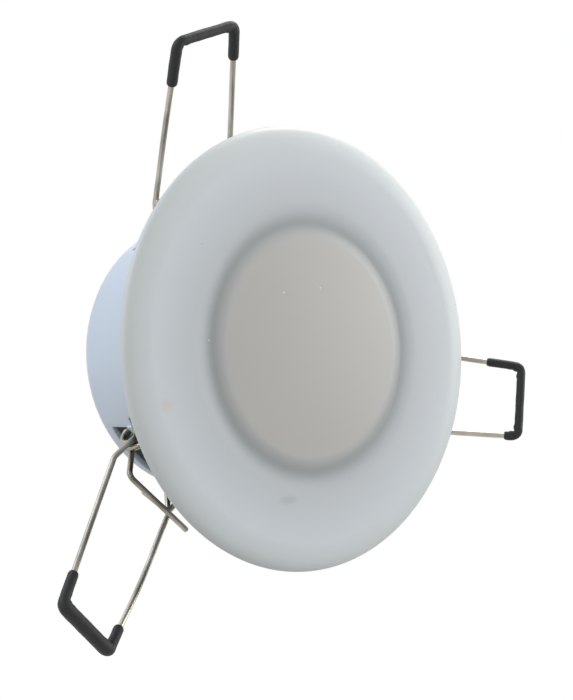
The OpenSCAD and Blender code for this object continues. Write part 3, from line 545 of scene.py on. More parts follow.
def face_outline():
    """Section of the face: front, rolled rim, gasket groove, back, seal groove and skirt."""
    roll_at, edge = FACE_R - ROLL_W, RIM_T / 2
    quarter = [math.radians(a) for a in range(0, 91, 5)]
    front = [(r / 2, -face_height(r / 2)) for r in range(int(roll_at * 2))]
    roll = [(roll_at + ROLL_W * math.sin(a), rim_z - (RING_H + rim_z) * math.cos(a)) for a in quarter]
    rim = [(FACE_R - edge + edge * math.cos(a), rim_z + edge * math.sin(a)) for a in quarter[2::2]]
    groove_out, groove_in = GASKET_OUT_R + GASKET_PLAY, GASKET_IN_R - GASKET_PLAY
    groove_end = GASKET_IN_R - GROOVE_WALL
    groove = [(groove_out, -GASKET_PROUD), (groove_out, groove_floor), (groove_in, groove_floor),
              (groove_in, -GASKET_PROUD), (groove_end, -GASKET_PROUD), face_back(groove_end)]
    seal_in = seal_at - SEAL_ROOM
    skirt = [face_back(skirt_r), (skirt_r, SEAL_LOW), (seal_in, SEAL_LOW), (seal_in, SEAL_HIGH),
             (skirt_r, SEAL_HIGH), (skirt_r, SKIRT_TOP), (skirt_in, SKIRT_TOP), face_back(skirt_in)]
    return (front + roll + rim + groove + back_run(groove_end - 1, skirt_r + 0.4) + skirt
            + back_run(skirt_in - 1, 0.5) + [face_back(0)])


def boss(turn):
    """A post on the face's back that takes one of the collar's screws."""
    foot = FACE_WALL - face_height(FIX_R) - 0.3
    outline = [(BOSS_BORE_R, BOSS_END), (BOSS_R - 0.1, BOSS_END), (BOSS_R, BOSS_END - 0.1), (BOSS_R, foot),
               (BOSS_BORE_R, foot)]
    return turned(outline, 40, (FIX_R * math.cos(turn), FIX_R * math.sin(turn)))


bosses = [boss(turn) for turn in FIX_TURNS]
piece("face_cover", "opal_face", joined(turned(face_outline(), 256), *bosses), opal, "opal_plastic", 50)

gasket_back = groove_floor + 0.05
gasket_outline = (arc((GASKET_OUT_R - GASKET_EDGE, -GASKET_EDGE), GASKET_EDGE, 0, 90, 4)
                  + arc((GASKET_IN_R + GASKET_EDGE, -GASKET_EDGE), GASKET_EDGE, 90, 180, 4)
                  + [(GASKET_IN_R, gasket_back), (GASKET_OUT_R, gasket_back)])
piece("ceiling_gasket", "foam_gasket", turned(gasket_outline), foam, "gasket_foam")

face_ring = arc((seal_at, (SEAL_LOW + SEAL_HIGH) / 2), SEAL_R, 0, 345, 23)
piece("face_seal", "face_ring_seal", turned(face_ring, 160), seal_finish, "seal_rubber")

CAP_RING_BULGE = 0.2
ring_in, ring_out = REAR_OPEN_R + 0.2, CAP_FLANGE_R - 0.6
cap_ring = [(ring_in, BODY_H), (ring_out, BODY_H), (ring_out + CAP_RING_BULGE, BODY_H + CAP_SEAL_T / 2),
            (ring_out, CAP_Z), (ring_in, CAP_Z)]
piece("cap_seal", "cap_ring_seal", turned(cap_ring, 160), seal_finish, "seal_rubber")

# ---------- housing ----------

# columns of the wall between two openings, and the height of the little fillet at the collar
BLANK_COLUMNS = 14
FILLET_H = 0.9


def housing_shell():
    """The housing's wall as a grid of columns and levels. Columns keep a constant sideways place
    beside the openings, so that these are cut straight through the wall."""
    beside = [WINDOW_HALF, (WINDOW_HALF + SLOT_HALF) / 2, SLOT_HALF]
    sides = [-s for s in reversed(beside)] + [2.5 * i for i in range(-4, 5)] + beside
    columns = []
    for turn in CLIP_TURNS:
        columns += [(turn, "side", s) for s in sides]
        columns += [(turn, "blank", (k + 1) / (BLANK_COLUMNS + 1)) for k in range(BLANK_COLUMNS)]

    def angle_of(column, radius):
        turn, kind, value = column
        radius = max(radius, SLOT_HALF + 2)
        if kind == "side":
            return turn + math.asin(value / radius)
        edge = math.asin(SLOT_HALF / radius)
        return turn + mix(edge, math.radians(120) - edge, value)

    edge = REAR_ROUND
    inner_edge = REAR_ROUND - WALL
    # heights of the wall's rows: those beside the openings, then all of its outside
    levels = [SLOT_BOTTOM, 25.0, 27.6, SLOT_TOP, 32.3, 34.9, 37.5, WINDOW_TOP]
    outer_z = [COLLAR_T + FILLET_H, 8.0, 13.0, 18.0] + levels + [41.5, BODY_H - edge]
    wall_outer = [(body_r(z), z) for z in outer_z]
    rounded = arc((body_r(BODY_H) - edge, BODY_H - edge), edge, 12, 90, 7)
    top_in = BODY_H - REAR_WALL
    # the points on the flat rear only keep its faces short
    rear = [(30.0, BODY_H), (25.0, BODY_H), (REAR_OPEN_R, BODY_H), (REAR_OPEN_R, top_in), (28.0, top_in)]
    rounded_in = arc((body_r(top_in) - WALL - inner_edge, top_in - inner_edge), inner_edge, 90, 15, 4)
    inner_z = [42.3] + levels[::-1] + [18.0, 13.0, 8.0, COLLAR_T]
    wall_inner = [(body_r(z) - WALL, z) for z in inner_z]
    collar = [(BORE_R, 0.3), (BORE_R + 0.3, 0.0), (COLLAR_R - 0.4, 0.0), (COLLAR_R, 0.4),
              (COLLAR_R, COLLAR_T - 0.5), (COLLAR_R - 0.5, COLLAR_T), (BODY_FRONT_R + FILLET_H, COLLAR_T),
              (BODY_FRONT_R + 0.25, COLLAR_T + 0.25)]
    outline = wall_outer + rounded + rear + rounded_in + wall_inner + collar
    count = len(outline)
    outer_index = {z: k for k, z in enumerate(outer_z)}
    inner_start = count - len(collar) - len(inner_z)
    inner_index = {z: inner_start + k for k, z in enumerate(inner_z)}
    wall_cells = set(range(len(outer_z) - 1)) | set(range(inner_start, count - len(collar) - 1))
    points, faces = [], []
    for column in columns:
        for r, z in outline:
            a = angle_of(column, r)
            points.append((r * math.cos(a), r * math.sin(a), z))

    def is_open(c, k):
        """Whether the cell from column c and outline point k lies in an opening."""
        here, there = columns[c], columns[(c + 1) % len(columns)]
        if k not in wall_cells or here[1] != "side" or there[1] != "side":
            return False
        z = (outline[k][1] + outline[k + 1][1]) / 2
        across = abs(here[2] + there[2]) / 2
        return (SLOT_BOTTOM < z < SLOT_TOP and across < SLOT_HALF) or (
            SLOT_TOP < z < WINDOW_TOP and across < WINDOW_HALF)

    total = len(columns)
    for c in range(total):
        d = (c + 1) % total
        for k in range(count):
            m = (k + 1) % count
            if not is_open(c, k):
                faces.append((c * count + k, d * count + k, d * count + m, c * count + m))
    # the openings' sides and their lower and upper edges, through the thickness of the wall
    for c in range(total):
        d, b = (c + 1) % total, (c - 1) % total
        for low, high in zip(levels[:-1], levels[1:]):
            ko, mo = outer_index[low], outer_index[high]
            ki, mi = inner_index[low], inner_index[high]
            if is_open(c, ko) != is_open(b, ko):
                faces.append((c * count + ko, c * count + mo, c * count + mi, c * count + ki))
        for level in levels:
            ko, ki = outer_index[level], inner_index[level]
            if is_open(c, ko) != is_open(c, ko - 1):
                faces.append((c * count + ko, d * count + ko, d * count + ki, c * count + ki))
    return points, faces


def block(low, high, turn=0.0):
    """A box from two corners, turned about the lamp's axis."""
    corners = [(x, y, z) for z in (low[2], high[2]) for y in (low[1], high[1]) for x in (low[0], high[0])]
    c, s = math.cos(turn), math.sin(turn)
    points = [(x * c - y * s, x * s + y * c, z) for x, y, z in corners]
    return points, [(0, 2, 3, 1), (4, 5, 7, 6), (0, 1, 5, 4), (2, 6, 7, 3), (0, 4, 6, 2), (1, 3, 7, 5)]


def evaluated_mesh(made):
    """A plain mesh of the object as its modifiers leave it, and the modifiers gone."""
    shaped = bpy.data.meshes.new_from_object(made.evaluated_get(bpy.context.evaluated_depsgraph_get()))
    made.modifiers.clear()
    return shaped


def soften(made, width, angle):
    """Rounds the edges of an object's mesh with a bevel."""
    bevel = made.modifiers.new("rounded_edges", "BEVEL")
    bevel.width = width * MM
    bevel.segments = 2
    bevel.limit_method = "ANGLE"
    bevel.angle_limit = math.radians(angle)
    bevel.harden_normals = False
    old = made.data
    made.data = evaluated_mesh(made)
    bpy.data.meshes.remove(old)
    made.data.shade_smooth()
    made.data.set_sharp_from_angle(angle=math.radians(40))


BAR_OVERLAP = 0.6
RIB_HALF = 2.8
RIB_OVERLAP = 0.4
bar_out = math.sqrt(body_r(HINGE_Z) ** 2 - WINDOW_HALF ** 2) + BAR_PROUD
bar_half = WINDOW_HALF + BAR_OVERLAP
bars = [block((bar_out - BAR_T, -bar_half, SLOT_TOP), (bar_out, bar_half, SLOT_TOP + BAR_H), turn)
        for turn in CLIP_TURNS]
rib_out = body_r(30) - WALL + RIB_OVERLAP
rib_top = BODY_H - REAR_WALL + RIB_OVERLAP
ribs = [block((CAN_R + 0.3, -RIB_HALF, SINK_BACK), (rib_out, RIB_HALF, rib_top), turn) for turn in FIX_TURNS]
points, faces = joined(housing_shell(), *bars, *ribs)
housing = object_from(mesh_from("white_housing", points, faces), "white_housing", shell, "lamp",
                      "white_plastic")
soften(housing, 0.22, 50)
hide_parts("housing")

# ---------- heat sink ----------

can_in = CAN_R - CAN_WALL
plate = [(0, SINK_Z), (SINK_R - 0.4, SINK_Z), (SINK_R, SINK_Z + 0.4), (SINK_R, SINK_BACK - 0.4),
         (SINK_R - 0.4, SINK_BACK)]
can = [(CAN_R + 0.5, SINK_BACK), (CAN_R, SINK_BACK + 0.5), (CAN_R, CAN_TOP - 0.3), (CAN_R - 0.3, CAN_TOP),
       (can_in, CAN_TOP), (can_in, SINK_BACK), (0, SINK_BACK)]
piece("heat_sink", "sink_can", turned(plate + can), sink_finish, "sink_metal")

# ---------- rear cap and cable gland ----------

CAP_ROUND = 2.0
flange_top = CAP_Z + CAP_FLANGE_T
cap_in, cap_in_top = CAP_R - CAP_WALL, CAP_TOP - CAP_WALL
cap_outline = (arc((CAP_R - CAP_ROUND, CAP_TOP - CAP_ROUND), CAP_ROUND, 90, 0, 8)
               + [(CAP_R, flange_top + 0.6), (CAP_R + 0.2, flange_top + 0.2), (CAP_R + 0.6, flange_top),
                  (CAP_FLANGE_R - 0.5, flange_top), (CAP_FLANGE_R - 0.15, flange_top - 0.15),
                  (CAP_FLANGE_R, flange_top - 0.5), (CAP_FLANGE_R, CAP_Z), (cap_in, CAP_Z),
                  (cap_in, cap_in_top - 1), (cap_in - 1, cap_in_top), (0, cap_in_top), (0, CAP_TOP)])
piece("rear_cap", "white_rear_cap", turned(cap_outline, 160), shell, "white_plastic")

GLAND_WALL = 1.7
GLAND_SEAL_H = 6.0
HEX_BEVEL = 0.7
HEX_TRIM = 0.15
NUT_DOME_H = 3.2
NUT_ROUND = 2.0
NUT_LIP = 0.6
CABLE_PLAY = 0.3
THREAD_DEPTH = 0.35
THREAD_PITCH = 1.3
THREAD_TURNS = 4
gland_at = (GLAND_X, 0.0)
hex_top = CAP_TOP + GLAND_HEX_H
thread_r = GLAND_R - 0.02
gland_bore = GLAND_R - GLAND_WALL


def hexagon(low, high, bore, steps=96):
    """A ring about the gland's axis with a hexagonal outside, its corners turned off at both ends."""
    levels = [(low, -HEX_BEVEL), (low + HEX_BEVEL / 2, 0), (high - HEX_BEVEL / 2, 0), (high, -HEX_BEVEL)]
    corner = GLAND_AF / 2 / math.cos(math.pi / 6) - HEX_TRIM
    points, faces = [], []
    for i in range(steps):
        a = 2 * math.pi * i / steps + math.pi / 6
        flat = GLAND_AF / 2 / math.cos(a % (math.pi / 3) - math.pi / 6)
        ring = [(min(flat, corner + cut), z) for z, cut in levels] + [(bore, high), (bore, low)]
        points += [(gland_at[0] + r * math.cos(a), gland_at[1] + r * math.sin(a), z) for r, z in ring]
    n = len(levels) + 2
    for i in range(steps):
        j = (i + 1) % steps
        for k in range(n):
            m = (k + 1) % n
            faces.append((i * n + k, j * n + k, j * n + m, i * n + m))
    return points, faces


def screw_thread(low):
    """A ridged cylinder that stands for the gland's moulded thread."""
    root, inside = thread_r - THREAD_DEPTH, thread_r - 1.5
    high = low + THREAD_TURNS * THREAD_PITCH
    outline = []
    for i in range(THREAD_TURNS):
        z = low + i * THREAD_PITCH
        outline += [(root, z), (thread_r, z + THREAD_PITCH * 0.35), (thread_r, z + THREAD_PITCH * 0.6)]
    return turned(outline + [(root, high), (inside, high), (inside, low)], 72, gland_at)


foot = [(gland_bore, CAP_TOP - 4), (GLAND_R - 0.4, CAP_TOP - 4), (thread_r, CAP_TOP - 3.6),
        (thread_r, CAP_TOP + 0.5), (gland_bore, CAP_TOP + 0.5)]
gland_shape = joined(hexagon(CAP_TOP, hex_top, gland_bore), turned(foot, 72, gland_at),
                     screw_thread(hex_top - 0.2))
piece("gland_body", "gland_seat_hex", gland_shape, nylon, "gland_plastic", 28)

nut_z = hex_top + 0.2
nut_top = nut_z + GLAND_NUT_H
nut_r = GLAND_AF / 2 - 0.2
nut_bore = GLAND_R + 0.05
dome = ([(nut_bore, nut_top - NUT_DOME_H), (nut_r, nut_top - NUT_DOME_H)]
        + arc((nut_r - NUT_ROUND, nut_top - NUT_ROUND), NUT_ROUND, 0, 90, 8)
        + arc((CABLE_R + CABLE_PLAY + NUT_LIP, nut_top - NUT_LIP), NUT_LIP, 90, 180, 4)
        + [(CABLE_R + CABLE_PLAY, nut_top - 2.0), (nut_bore, nut_top - 2.2)])
nut_shape = joined(hexagon(nut_z, nut_top - NUT_DOME_H + 0.2, nut_bore), turned(dome, 96, gland_at))
piece("gland_nut", "gland_cap_nut", nut_shape, nylon, "gland_plastic", 28)

seal_out, seal_top = gland_bore - 0.05, hex_top + GLAND_SEAL_H
gland_ring = [(CABLE_R, hex_top + 0.3), (CABLE_R + 0.3, hex_top), (seal_out, hex_top), (seal_out, seal_top),
              (CABLE_R + 0.3, seal_top), (CABLE_R, seal_top - 0.3)]
piece("gland_seal", "gland_ring_seal", turned(gland_ring, 64, gland_at), seal_finish, "seal_rubber")

# ---------- screws, set out by geometry nodes ----------

SHANK_L = 6.0
HEAD_ROUND = 0.8
RECESS_REACH = 1.35
RECESS_HALF = 0.3
RECESS_DEPTH = 0.75


def pan_head():
    """A pan-head screw with a cross recess: its head's seat is at height 0, its shank below."""
    shank_r = SCREW_D / 2
    outline = ([(0, -SHANK_L), (shank_r - 0.35, -SHANK_L), (shank_r, 0.5 - SHANK_L), (shank_r, 0.0),
                (HEAD_R - 0.1, 0.0), (HEAD_R, 0.12)]
               + arc((HEAD_R - HEAD_ROUND, HEAD_H - HEAD_ROUND), HEAD_ROUND, 0, 90, 6) + [(0, HEAD_H)])
    base = linked("screw_blank", mesh_from("screw_blank", *turned(outline, 48)))
    # the second slot of the cross is a little deeper, so that no faces lie on each other
    low, high = HEAD_H - RECESS_DEPTH, HEAD_H + 1
    cross = joined(block((-RECESS_REACH, -RECESS_HALF, low), (RECESS_REACH, RECESS_HALF, high)),
                   block((-RECESS_HALF, -RECESS_REACH, low - 0.01), (RECESS_HALF, RECESS_REACH, high + 0.01)))
    tool = linked("cross_recess", mesh_from("cross_recess", *cross))
    cut = base.modifiers.new("recess", "BOOLEAN")
    cut.operation = "DIFFERENCE"
    cut.solver = "EXACT"
    cut.use_self = True
    cut.object = tool
    base.data = evaluated_mesh(base)
    bpy.data.objects.remove(tool)
    base.data.shade_smooth()
    base.data.set_sharp_from_angle(angle=math.radians(35))
    return base


def new_tree(name, sockets):
    """An empty geometry tree with named inputs, and the outputs of its input node."""
    tree = bpy.data.node_groups.new(name, "GeometryNodeTree")
    for label, kind in sockets.items():
        tree.interface.new_socket(label, in_out="INPUT", socket_type="NodeSocket" + kind)
    tree.interface.new_socket("Geometry", in_out="OUTPUT", socket_type="NodeSocketGeometry")
    return tree, add_node(tree, "NodeGroupInput").outputs


def close_tree(tree, geometry, finish):
    """Ends a tree with real geometry in its finish, because the export drops instances."""
    real = add_node(tree, "GeometryNodeRealizeInstances", {"Geometry": geometry})
    dressed = add_node(tree, "GeometryNodeSetMaterial", {"Geometry": real.outputs[0], "Material": finish})
    add_node(tree, "NodeGroupOutput", {"Geometry": dressed.outputs[0]})
    return tree


def screw_ring_tree():
    """Geometry nodes that set a screw at each corner of a regular polygon of screws."""
    tree, given = new_tree("screw_ring", {
        "Geometry": "Geometry", "Screw": "Object", "Count": "Int", "Ring radius": "Float",
        "Start angle": "Float", "Seat height": "Float", "Head turn": "Float", "Seed": "Int",
        "Finish": "Material"})
    ring = add_node(tree, "GeometryNodeMeshCircle",
                    {"Vertices": given["Count"], "Radius": given["Ring radius"]})
    spin = add_node(tree, "ShaderNodeCombineXYZ", {"Z": given["Start angle"]})
    lift = add_node(tree, "ShaderNodeCombineXYZ", {"Z": given["Seat height"]})
    placed = add_node(tree, "GeometryNodeTransform",
                      {"Geometry": ring.outputs[0], "Translation": lift.outputs[0],
                       "Rotation": spin.outputs[0]})
    screw = add_node(tree, "GeometryNodeObjectInfo", {"Object": given["Screw"]})
    any_turn = add_node(tree, "FunctionNodeRandomValue",
                        {"Seed": given["Seed"], "Max": (0, 0, math.tau)}, data_type="FLOAT_VECTOR")
    head = add_node(tree, "ShaderNodeVectorMath", {0: any_turn.outputs[0], "Scale": given["Head turn"]},
                    operation="SCALE")
    set_out = add_node(tree, "GeometryNodeInstanceOnPoints",
                       {"Points": placed.outputs[0], "Instance": screw.outputs["Geometry"],
                        "Rotation": head.outputs[0]})
    return close_tree(tree, set_out.outputs[0], given["Finish"])


def run_nodes(made, tree, values):
    """Runs a tree on an object with its inputs set by name, and keeps the result as a plain mesh."""
    step = made.modifiers.new(tree.name, "NODES")
    step.node_group = tree
    for item in tree.interface.items_tree:
        if item.item_type == "SOCKET" and item.in_out == "INPUT" and item.name in values:
            step[item.identifier] = values[item.name]
    made.update_tag()
    return evaluated_mesh(made)


blank = pan_head()
ring_of_screws = screw_ring_tree()
for node, name, ring_r, seat_z, seed in (("cap_screws", "rear_cap_screws", CAP_FIX_R, flange_top, 3),
                                         ("face_screws", "collar_screws", FIX_R, COLLAR_T, 8)):
    holder = linked("screw_holder", bpy.data.meshes.new("screw_holder"))
    shaped = run_nodes(holder, ring_of_screws,
                       {"Screw": blank, "Count": 3, "Ring radius": ring_r * MM,
                        "Start angle": FIX_TURNS[0], "Seat height": seat_z * MM, "Head turn": 1.0,
                        "Seed": seed, "Finish": zinc})
    bpy.data.objects.remove(holder)
    screws = object_from(shaped, name, zinc, "lamp", "screw_steel", 35)
    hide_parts(node)
bpy.data.objects.remove(blank)

# ---------- spring clips ----------
# In a clip's own frame the hinge axis is Y, X points away from the lamp and Z points up.

# degrees of coil on each side of a long arm
ARM_COIL = 300
# angles at which the short legs' coils start, and at which the left and the right leg leave them
LEG_START = 180
LEFT_LEAVE = -315
RIGHT_LEAVE = 630
# the legs' corners: how far in from the coils, and how the short end lies over and behind the long one
LEFT_IN = 0.8
RIGHT_IN = 1.8
SHORT_BACK = 0.75
SHORT_UP = 1.6
# how far each end drifts outwards along its length, and how much less of the second clip's shows
LONG_DRIFT = 0.2
SHORT_DRIFT = 0.5
SECOND_CUT = 3.5


def coil_point(angle, y):
    """Point of a coil's wire by its angle about the hinge and its place along it."""
    a = math.radians(angle)
    return Vector((COIL_R * math.cos(a), y, COIL_R * math.sin(a)))


def coil_arc(start, stop, y0, y1, steps):
    """Turns of a coil. Over more than one turn they step sideways where they don't touch."""
    whole = abs(stop - start)
    over = max(whole - 360, 0)
    line = []
    for i in range(steps + 1):
        step = (whole * i / steps - over) / (whole - 2 * over)
        line.append(coil_point(mix(start, stop, i / steps), mix(y0, y1, smooth_step(step) if over else step)))
    return line


def wire_bend(a, b, c, radius, steps):
    """The bend of the wire at b on its way from a to c."""
    u, v = (a - b).normalized(), (c - b).normalized()
    half = math.acos(max(min(u.dot(v), 1), -1)) / 2
    reach = radius / math.tan(half)
    centre = b + (u + v).normalized() * radius / math.sin(half)
    p, q = b + u * reach - centre, b + v * reach - centre
    turn = math.pi - 2 * half
    return [centre + (p * math.sin(turn * (1 - i / steps)) + q * math.sin(turn * i / steps)) / math.sin(turn)
            for i in range(steps + 1)]


def along(a, b, distance):
    """The point at a distance from a on the way to b."""
    return a + (b - a).normalized() * distance


def lean(x):
    """Sideways place of a long arm's middle line, which leans to one side."""
    return ARM_OFFSET + x * math.tan(ARM_LEAN)


elbow_x, elbow_z = ELBOW_REACH * math.cos(ARM_SLOPE), -ELBOW_REACH * math.sin(ARM_SLOPE)
end_x, end_z = ARM_REACH * math.cos(ARM_SLOPE), -ARM_REACH * math.sin(ARM_SLOPE)
inner_turn = COIL_OUTER - 2 * COIL_PITCH


def arm_corners(clip):
    """Elbows and end corners of a long arm: the right side lies above the left one."""
    rise = END_RISE[clip]
    return (Vector((elbow_x - ARM_SKEW / 2, lean(elbow_x) + ELBOW_W / 2, elbow_z - ELBOW_RISE)),
            Vector((end_x - ARM_SKEW / 2, lean(end_x) + ARM_W / 2, end_z - rise)),
            Vector((end_x + ARM_SKEW / 2, lean(end_x) - ARM_W / 2, end_z + rise)),
            Vector((elbow_x + ARM_SKEW / 2, lean(elbow_x) - ELBOW_W / 2, elbow_z + ELBOW_RISE)))


def leave(point, side):
    """Angle about the hinge at which a wire leaves its coil to run straight to a point."""
    far = math.hypot(point.x, point.z)
    return math.degrees(math.atan2(point.z, point.x) + side * math.acos(COIL_R / far))


def bowed(a, b, bow):
    """Points of a run from a to b that stands a little outwards in its middle, as handled wire does."""
    return [a.lerp(b, t / 20) + Vector((0, -bow * math.sin(math.pi * t / 20) ** 2, 0)) for t in range(3, 18)]


def end_bends(clip):
    """The wire's two bends at the end of a long arm."""
    elbow_l, end_l, end_r, elbow_r = arm_corners(clip)
    return (wire_bend(elbow_l, end_l, end_r, CORNER_BEND, 10)
            + wire_bend(end_l, end_r, elbow_r, CORNER_BEND, 10))


def arm_line(clip):
    """Middle line of a long arm's wire, from the left coil round its end to the right coil."""
    elbow_l, end_l, end_r, elbow_r = arm_corners(clip)
    front, rear = leave(elbow_l, -1), leave(elbow_r, 1)
    return (coil_arc(front - ARM_COIL, front, COIL_OUTER, COIL_OUTER, 70)
            + wire_bend(coil_point(front, COIL_OUTER), elbow_l, end_l, ELBOW_BEND, 8)
            + end_bends(clip)
            + bowed(end_r, elbow_r, WIRE_BOW[clip])
            + wire_bend(end_r, elbow_r, coil_point(rear, -inner_turn), ELBOW_BEND, 8)
            + coil_arc(rear, rear + ARM_COIL, -inner_turn, -inner_turn, 70))


cross_l = Vector((LEG_REACH, inner_turn + LEFT_IN, -LEG_DROP))
cross_r = Vector((LEG_REACH - SHORT_BACK, -COIL_OUTER + RIGHT_IN, -LEG_DROP + SHORT_UP))
cross_r_end = cross_r + Vector((SHORT_DRIFT, SHORT_END, 0))
right_coil = coil_arc(LEG_START, RIGHT_LEAVE, -inner_turn - COIL_PITCH, -COIL_OUTER, 100)
right_line = (right_coil + wire_bend(right_coil[-1], cross_r, cross_r_end, CORNER_BEND, 8)
              + [cross_r_end])


def left_line(clip):
    """The long end's half. The second clip's is cut shorter, to stay behind the rim as in the photograph."""
    stop = cross_l + Vector((LONG_DRIFT, -LONG_END + (SECOND_CUT if clip == 1 else 0), 0))
    left_coil = coil_arc(LEG_START, LEFT_LEAVE, COIL_OUTER - COIL_PITCH, inner_turn, 110)
    return left_coil + wire_bend(left_coil[-1], cross_l, stop, CORNER_BEND, 8) + [stop]


def to_lamp(point, clip):
    """A point of a clip's frame in the lamp's, with the clip hanging at rest."""
    hang, turn = HANG[clip], CLIP_TURNS[clip]
    x = point.x * math.cos(hang) + point.z * math.sin(hang) + HINGE_R
    z = -point.x * math.sin(hang) + point.z * math.cos(hang) + HINGE_Z
    c, s = math.cos(turn), math.sin(turn)
    return Vector((x * c - point.y * s, x * s + point.y * c, z))


def wire_tree():
    """Geometry nodes that draw round wire or tube along a curve, by the radius of its points."""
    tree, given = new_tree("drawn_wire", {
        "Geometry": "Geometry", "Wire radius": "Float", "Sides": "Int", "Unevenness": "Float",
        "Wrinkle size": "Float", "Seed": "Float", "Finish": "Material"})
    section = add_node(tree, "GeometryNodeCurvePrimitiveCircle",
                       {"Resolution": given["Sides"], "Radius": given["Wire radius"]})
    share = add_node(tree, "GeometryNodeInputRadius")
    tube = add_node(tree, "GeometryNodeCurveToMesh",
                    {"Curve": given["Geometry"], "Profile Curve": section.outputs[0],
                     "Scale": share.outputs[0], "Fill Caps": True})
    size = add_node(tree, "ShaderNodeMath", {0: 1.0, 1: given["Wrinkle size"]}, operation="DIVIDE")
    bumps = add_node(tree, "ShaderNodeTexNoise",
                     {"W": given["Seed"], "Scale": size.outputs[0], "Detail": 2.0}, noise_dimensions="4D")
    around = add_node(tree, "ShaderNodeMath", {0: bumps.outputs[0], 1: 0.5}, operation="SUBTRACT")
    amount = add_node(tree, "ShaderNodeMath", {0: around.outputs[0], 1: given["Unevenness"]},
                      operation="MULTIPLY")
    way = add_node(tree, "GeometryNodeInputNormal")
    offset = add_node(tree, "ShaderNodeVectorMath", {0: way.outputs[0], "Scale": amount.outputs[0]},
                      operation="SCALE")
    moved = add_node(tree, "GeometryNodeSetPosition",
                     {"Geometry": tube.outputs[0], "Offset": offset.outputs[0]})
    return close_tree(tree, moved.outputs[0], given["Finish"])


def dense(line, step):
    """The line with more points on its straight runs, no further apart than step."""
    made = [line[0]]
    for a, b in zip(line[:-1], line[1:]):
        gap = (b - a).length
        if gap < 1e-6:
            continue
        parts = max(1, math.ceil(gap / step))
        made += [a.lerp(b, i / parts) for i in range(1, parts + 1)]
    return made


def closing_end(tip, inward, length, closing):
    """Points and shares of the radius from a tip inwards, where the wire or tube is rounded off."""
    return [(tip + inward * length * (1 - math.cos(t)), mix(closing, 1.0, math.sin(t)))
            for t in [math.pi / 2 * i / 4 for i in range(5)]]


def drawn(lines, clip, given, ends=0.18, closing=0.55, thickness=None):
    """One plain mesh of all the lines, each drawn as wire or tube with rounded ends. Given holds the
    tree's inputs. Thickness may give the share of the radius at a point."""
    curve = bpy.data.curves.new("centre_line", "CURVE")
    curve.dimensions = "3D"
    for line in lines:
        line = dense(line, 0.5 if thickness else 1.2)
        head = closing_end(line[0], (line[1] - line[0]).normalized(), ends, closing)
        tail = closing_end(line[-1], (line[-2] - line[-1]).normalized(), ends, closing)
        clear = ends * 1.1
        middle = [(p, thickness(p) if thickness else 1.0) for p in line[1:-1]
                  if (p - line[0]).length > clear and (p - line[-1]).length > clear]
        rows = head + middle + tail[::-1]
        spline = curve.splines.new("POLY")
        spline.points.add(len(rows) - 1)
        for point, (place, share) in zip(spline.points, rows):
            point.co = (to_lamp(place, clip) * MM).to_4d()
            point.radius = share
    holder = linked("centre_line", curve)
    shaped = run_nodes(holder, wire_nodes, given)
    bpy.data.objects.remove(holder)
    bpy.data.curves.remove(curve)
    return shaped


def drawn_wire(lines, clip, seed):
    """The spring wire along the lines, with the slight unevenness of its plating."""
    return drawn(lines, clip, {"Wire radius": WIRE_R * MM, "Sides": 28, "Unevenness": 0.01 * MM,
                               "Wrinkle size": 6.0 * MM, "Seed": seed, "Finish": spring})


# the folds in the rubber at a bend: how far in their middle lies, their reach, depth and pace
FOLD_IN = 1.9
FOLD_REACH = 3.2
FOLD_DEPTH = 0.55
FOLD_PACE = 4.2


def pucker(mesh, clip):
    """Bunches the rubber up on the inside of both bends, in three or four short folds."""
    elbow_l, end_l, end_r, elbow_r = arm_corners(clip)
    for corner, back, on, shift in ((end_l, elbow_l, end_r, 0.8), (end_r, elbow_r, end_l, 0.0)):
        there = to_lamp(corner, clip)
        legs = [(to_lamp(other, clip) - there).normalized() for other in (back, on)]
        inward = (legs[0] + legs[1]).normalized()
        across = (legs[1] - legs[0]).normalized()
        heart = there + inward * FOLD_IN
        for v in mesh.vertices:
            place = v.co / MM
            reach = (place - heart).length
            if reach > FOLD_REACH:
                continue
            fold = smooth_step(1 - reach / FOLD_REACH)
            side = (place - heart).dot(across)
            ripple = 0.55 + 0.45 * math.cos(side * FOLD_PACE + 0.6 * clip + shift)
            facing = max((place - there).dot(inward), 0.0)
            v.co += inward * (FOLD_DEPTH * fold * ripple * min(facing, 1.0)) * MM


# the sleeve's corners: how far the bar's thickness runs on, and how much, where and how widely it is
# pinched
BAR_BLEND = 2.2
PINCH = 0.05
PINCH_AT = 1.0
PINCH_REACH = 1.2


def sleeve_thickness(clip):
    """How the sleeve's radius varies: the end bar's rubber is fatter or thinner than the legs', and
    pinched at both corners."""
    a, b = arm_corners(clip)[1:3]
    stretch = SLEEVE_BAR_R[clip] / SLEEVE_LEG_R[clip]

    def thickness(p):
        share = (p - a).dot(b - a) / (b - a).length_squared
        from_bar = (p - a.lerp(b, min(max(share, 0), 1))).length
        on_bar = smooth_step(1 - from_bar / BAR_BLEND)
        corner = min((p - a).length, (p - b).length)
        pinched = smooth_step(1 - abs(corner - PINCH_AT) / PINCH_REACH)
        return mix(1.0, stretch, on_bar) * (1 - PINCH * pinched)

    return thickness


def drawn_sleeve(clip):
    """The rubber sleeve round the end of a long arm, folded at its two bends."""
    elbow_l, end_l, end_r, elbow_r = arm_corners(clip)
    left, right = SLEEVE_LEGS[clip]
    line = [along(end_l, elbow_l, left)] + end_bends(clip) + [along(end_r, elbow_r, right)]
    shaped = drawn([line], clip, {"Wire radius": SLEEVE_LEG_R[clip] * MM, "Sides": 32,
                                  "Unevenness": 0.2 * MM, "Wrinkle size": 2.6 * MM,
                                  "Seed": 11.0 + clip, "Finish": rubber},
                   ends=1.1, closing=0.58, thickness=sleeve_thickness(clip))
    pucker(shaped, clip)
    return shaped


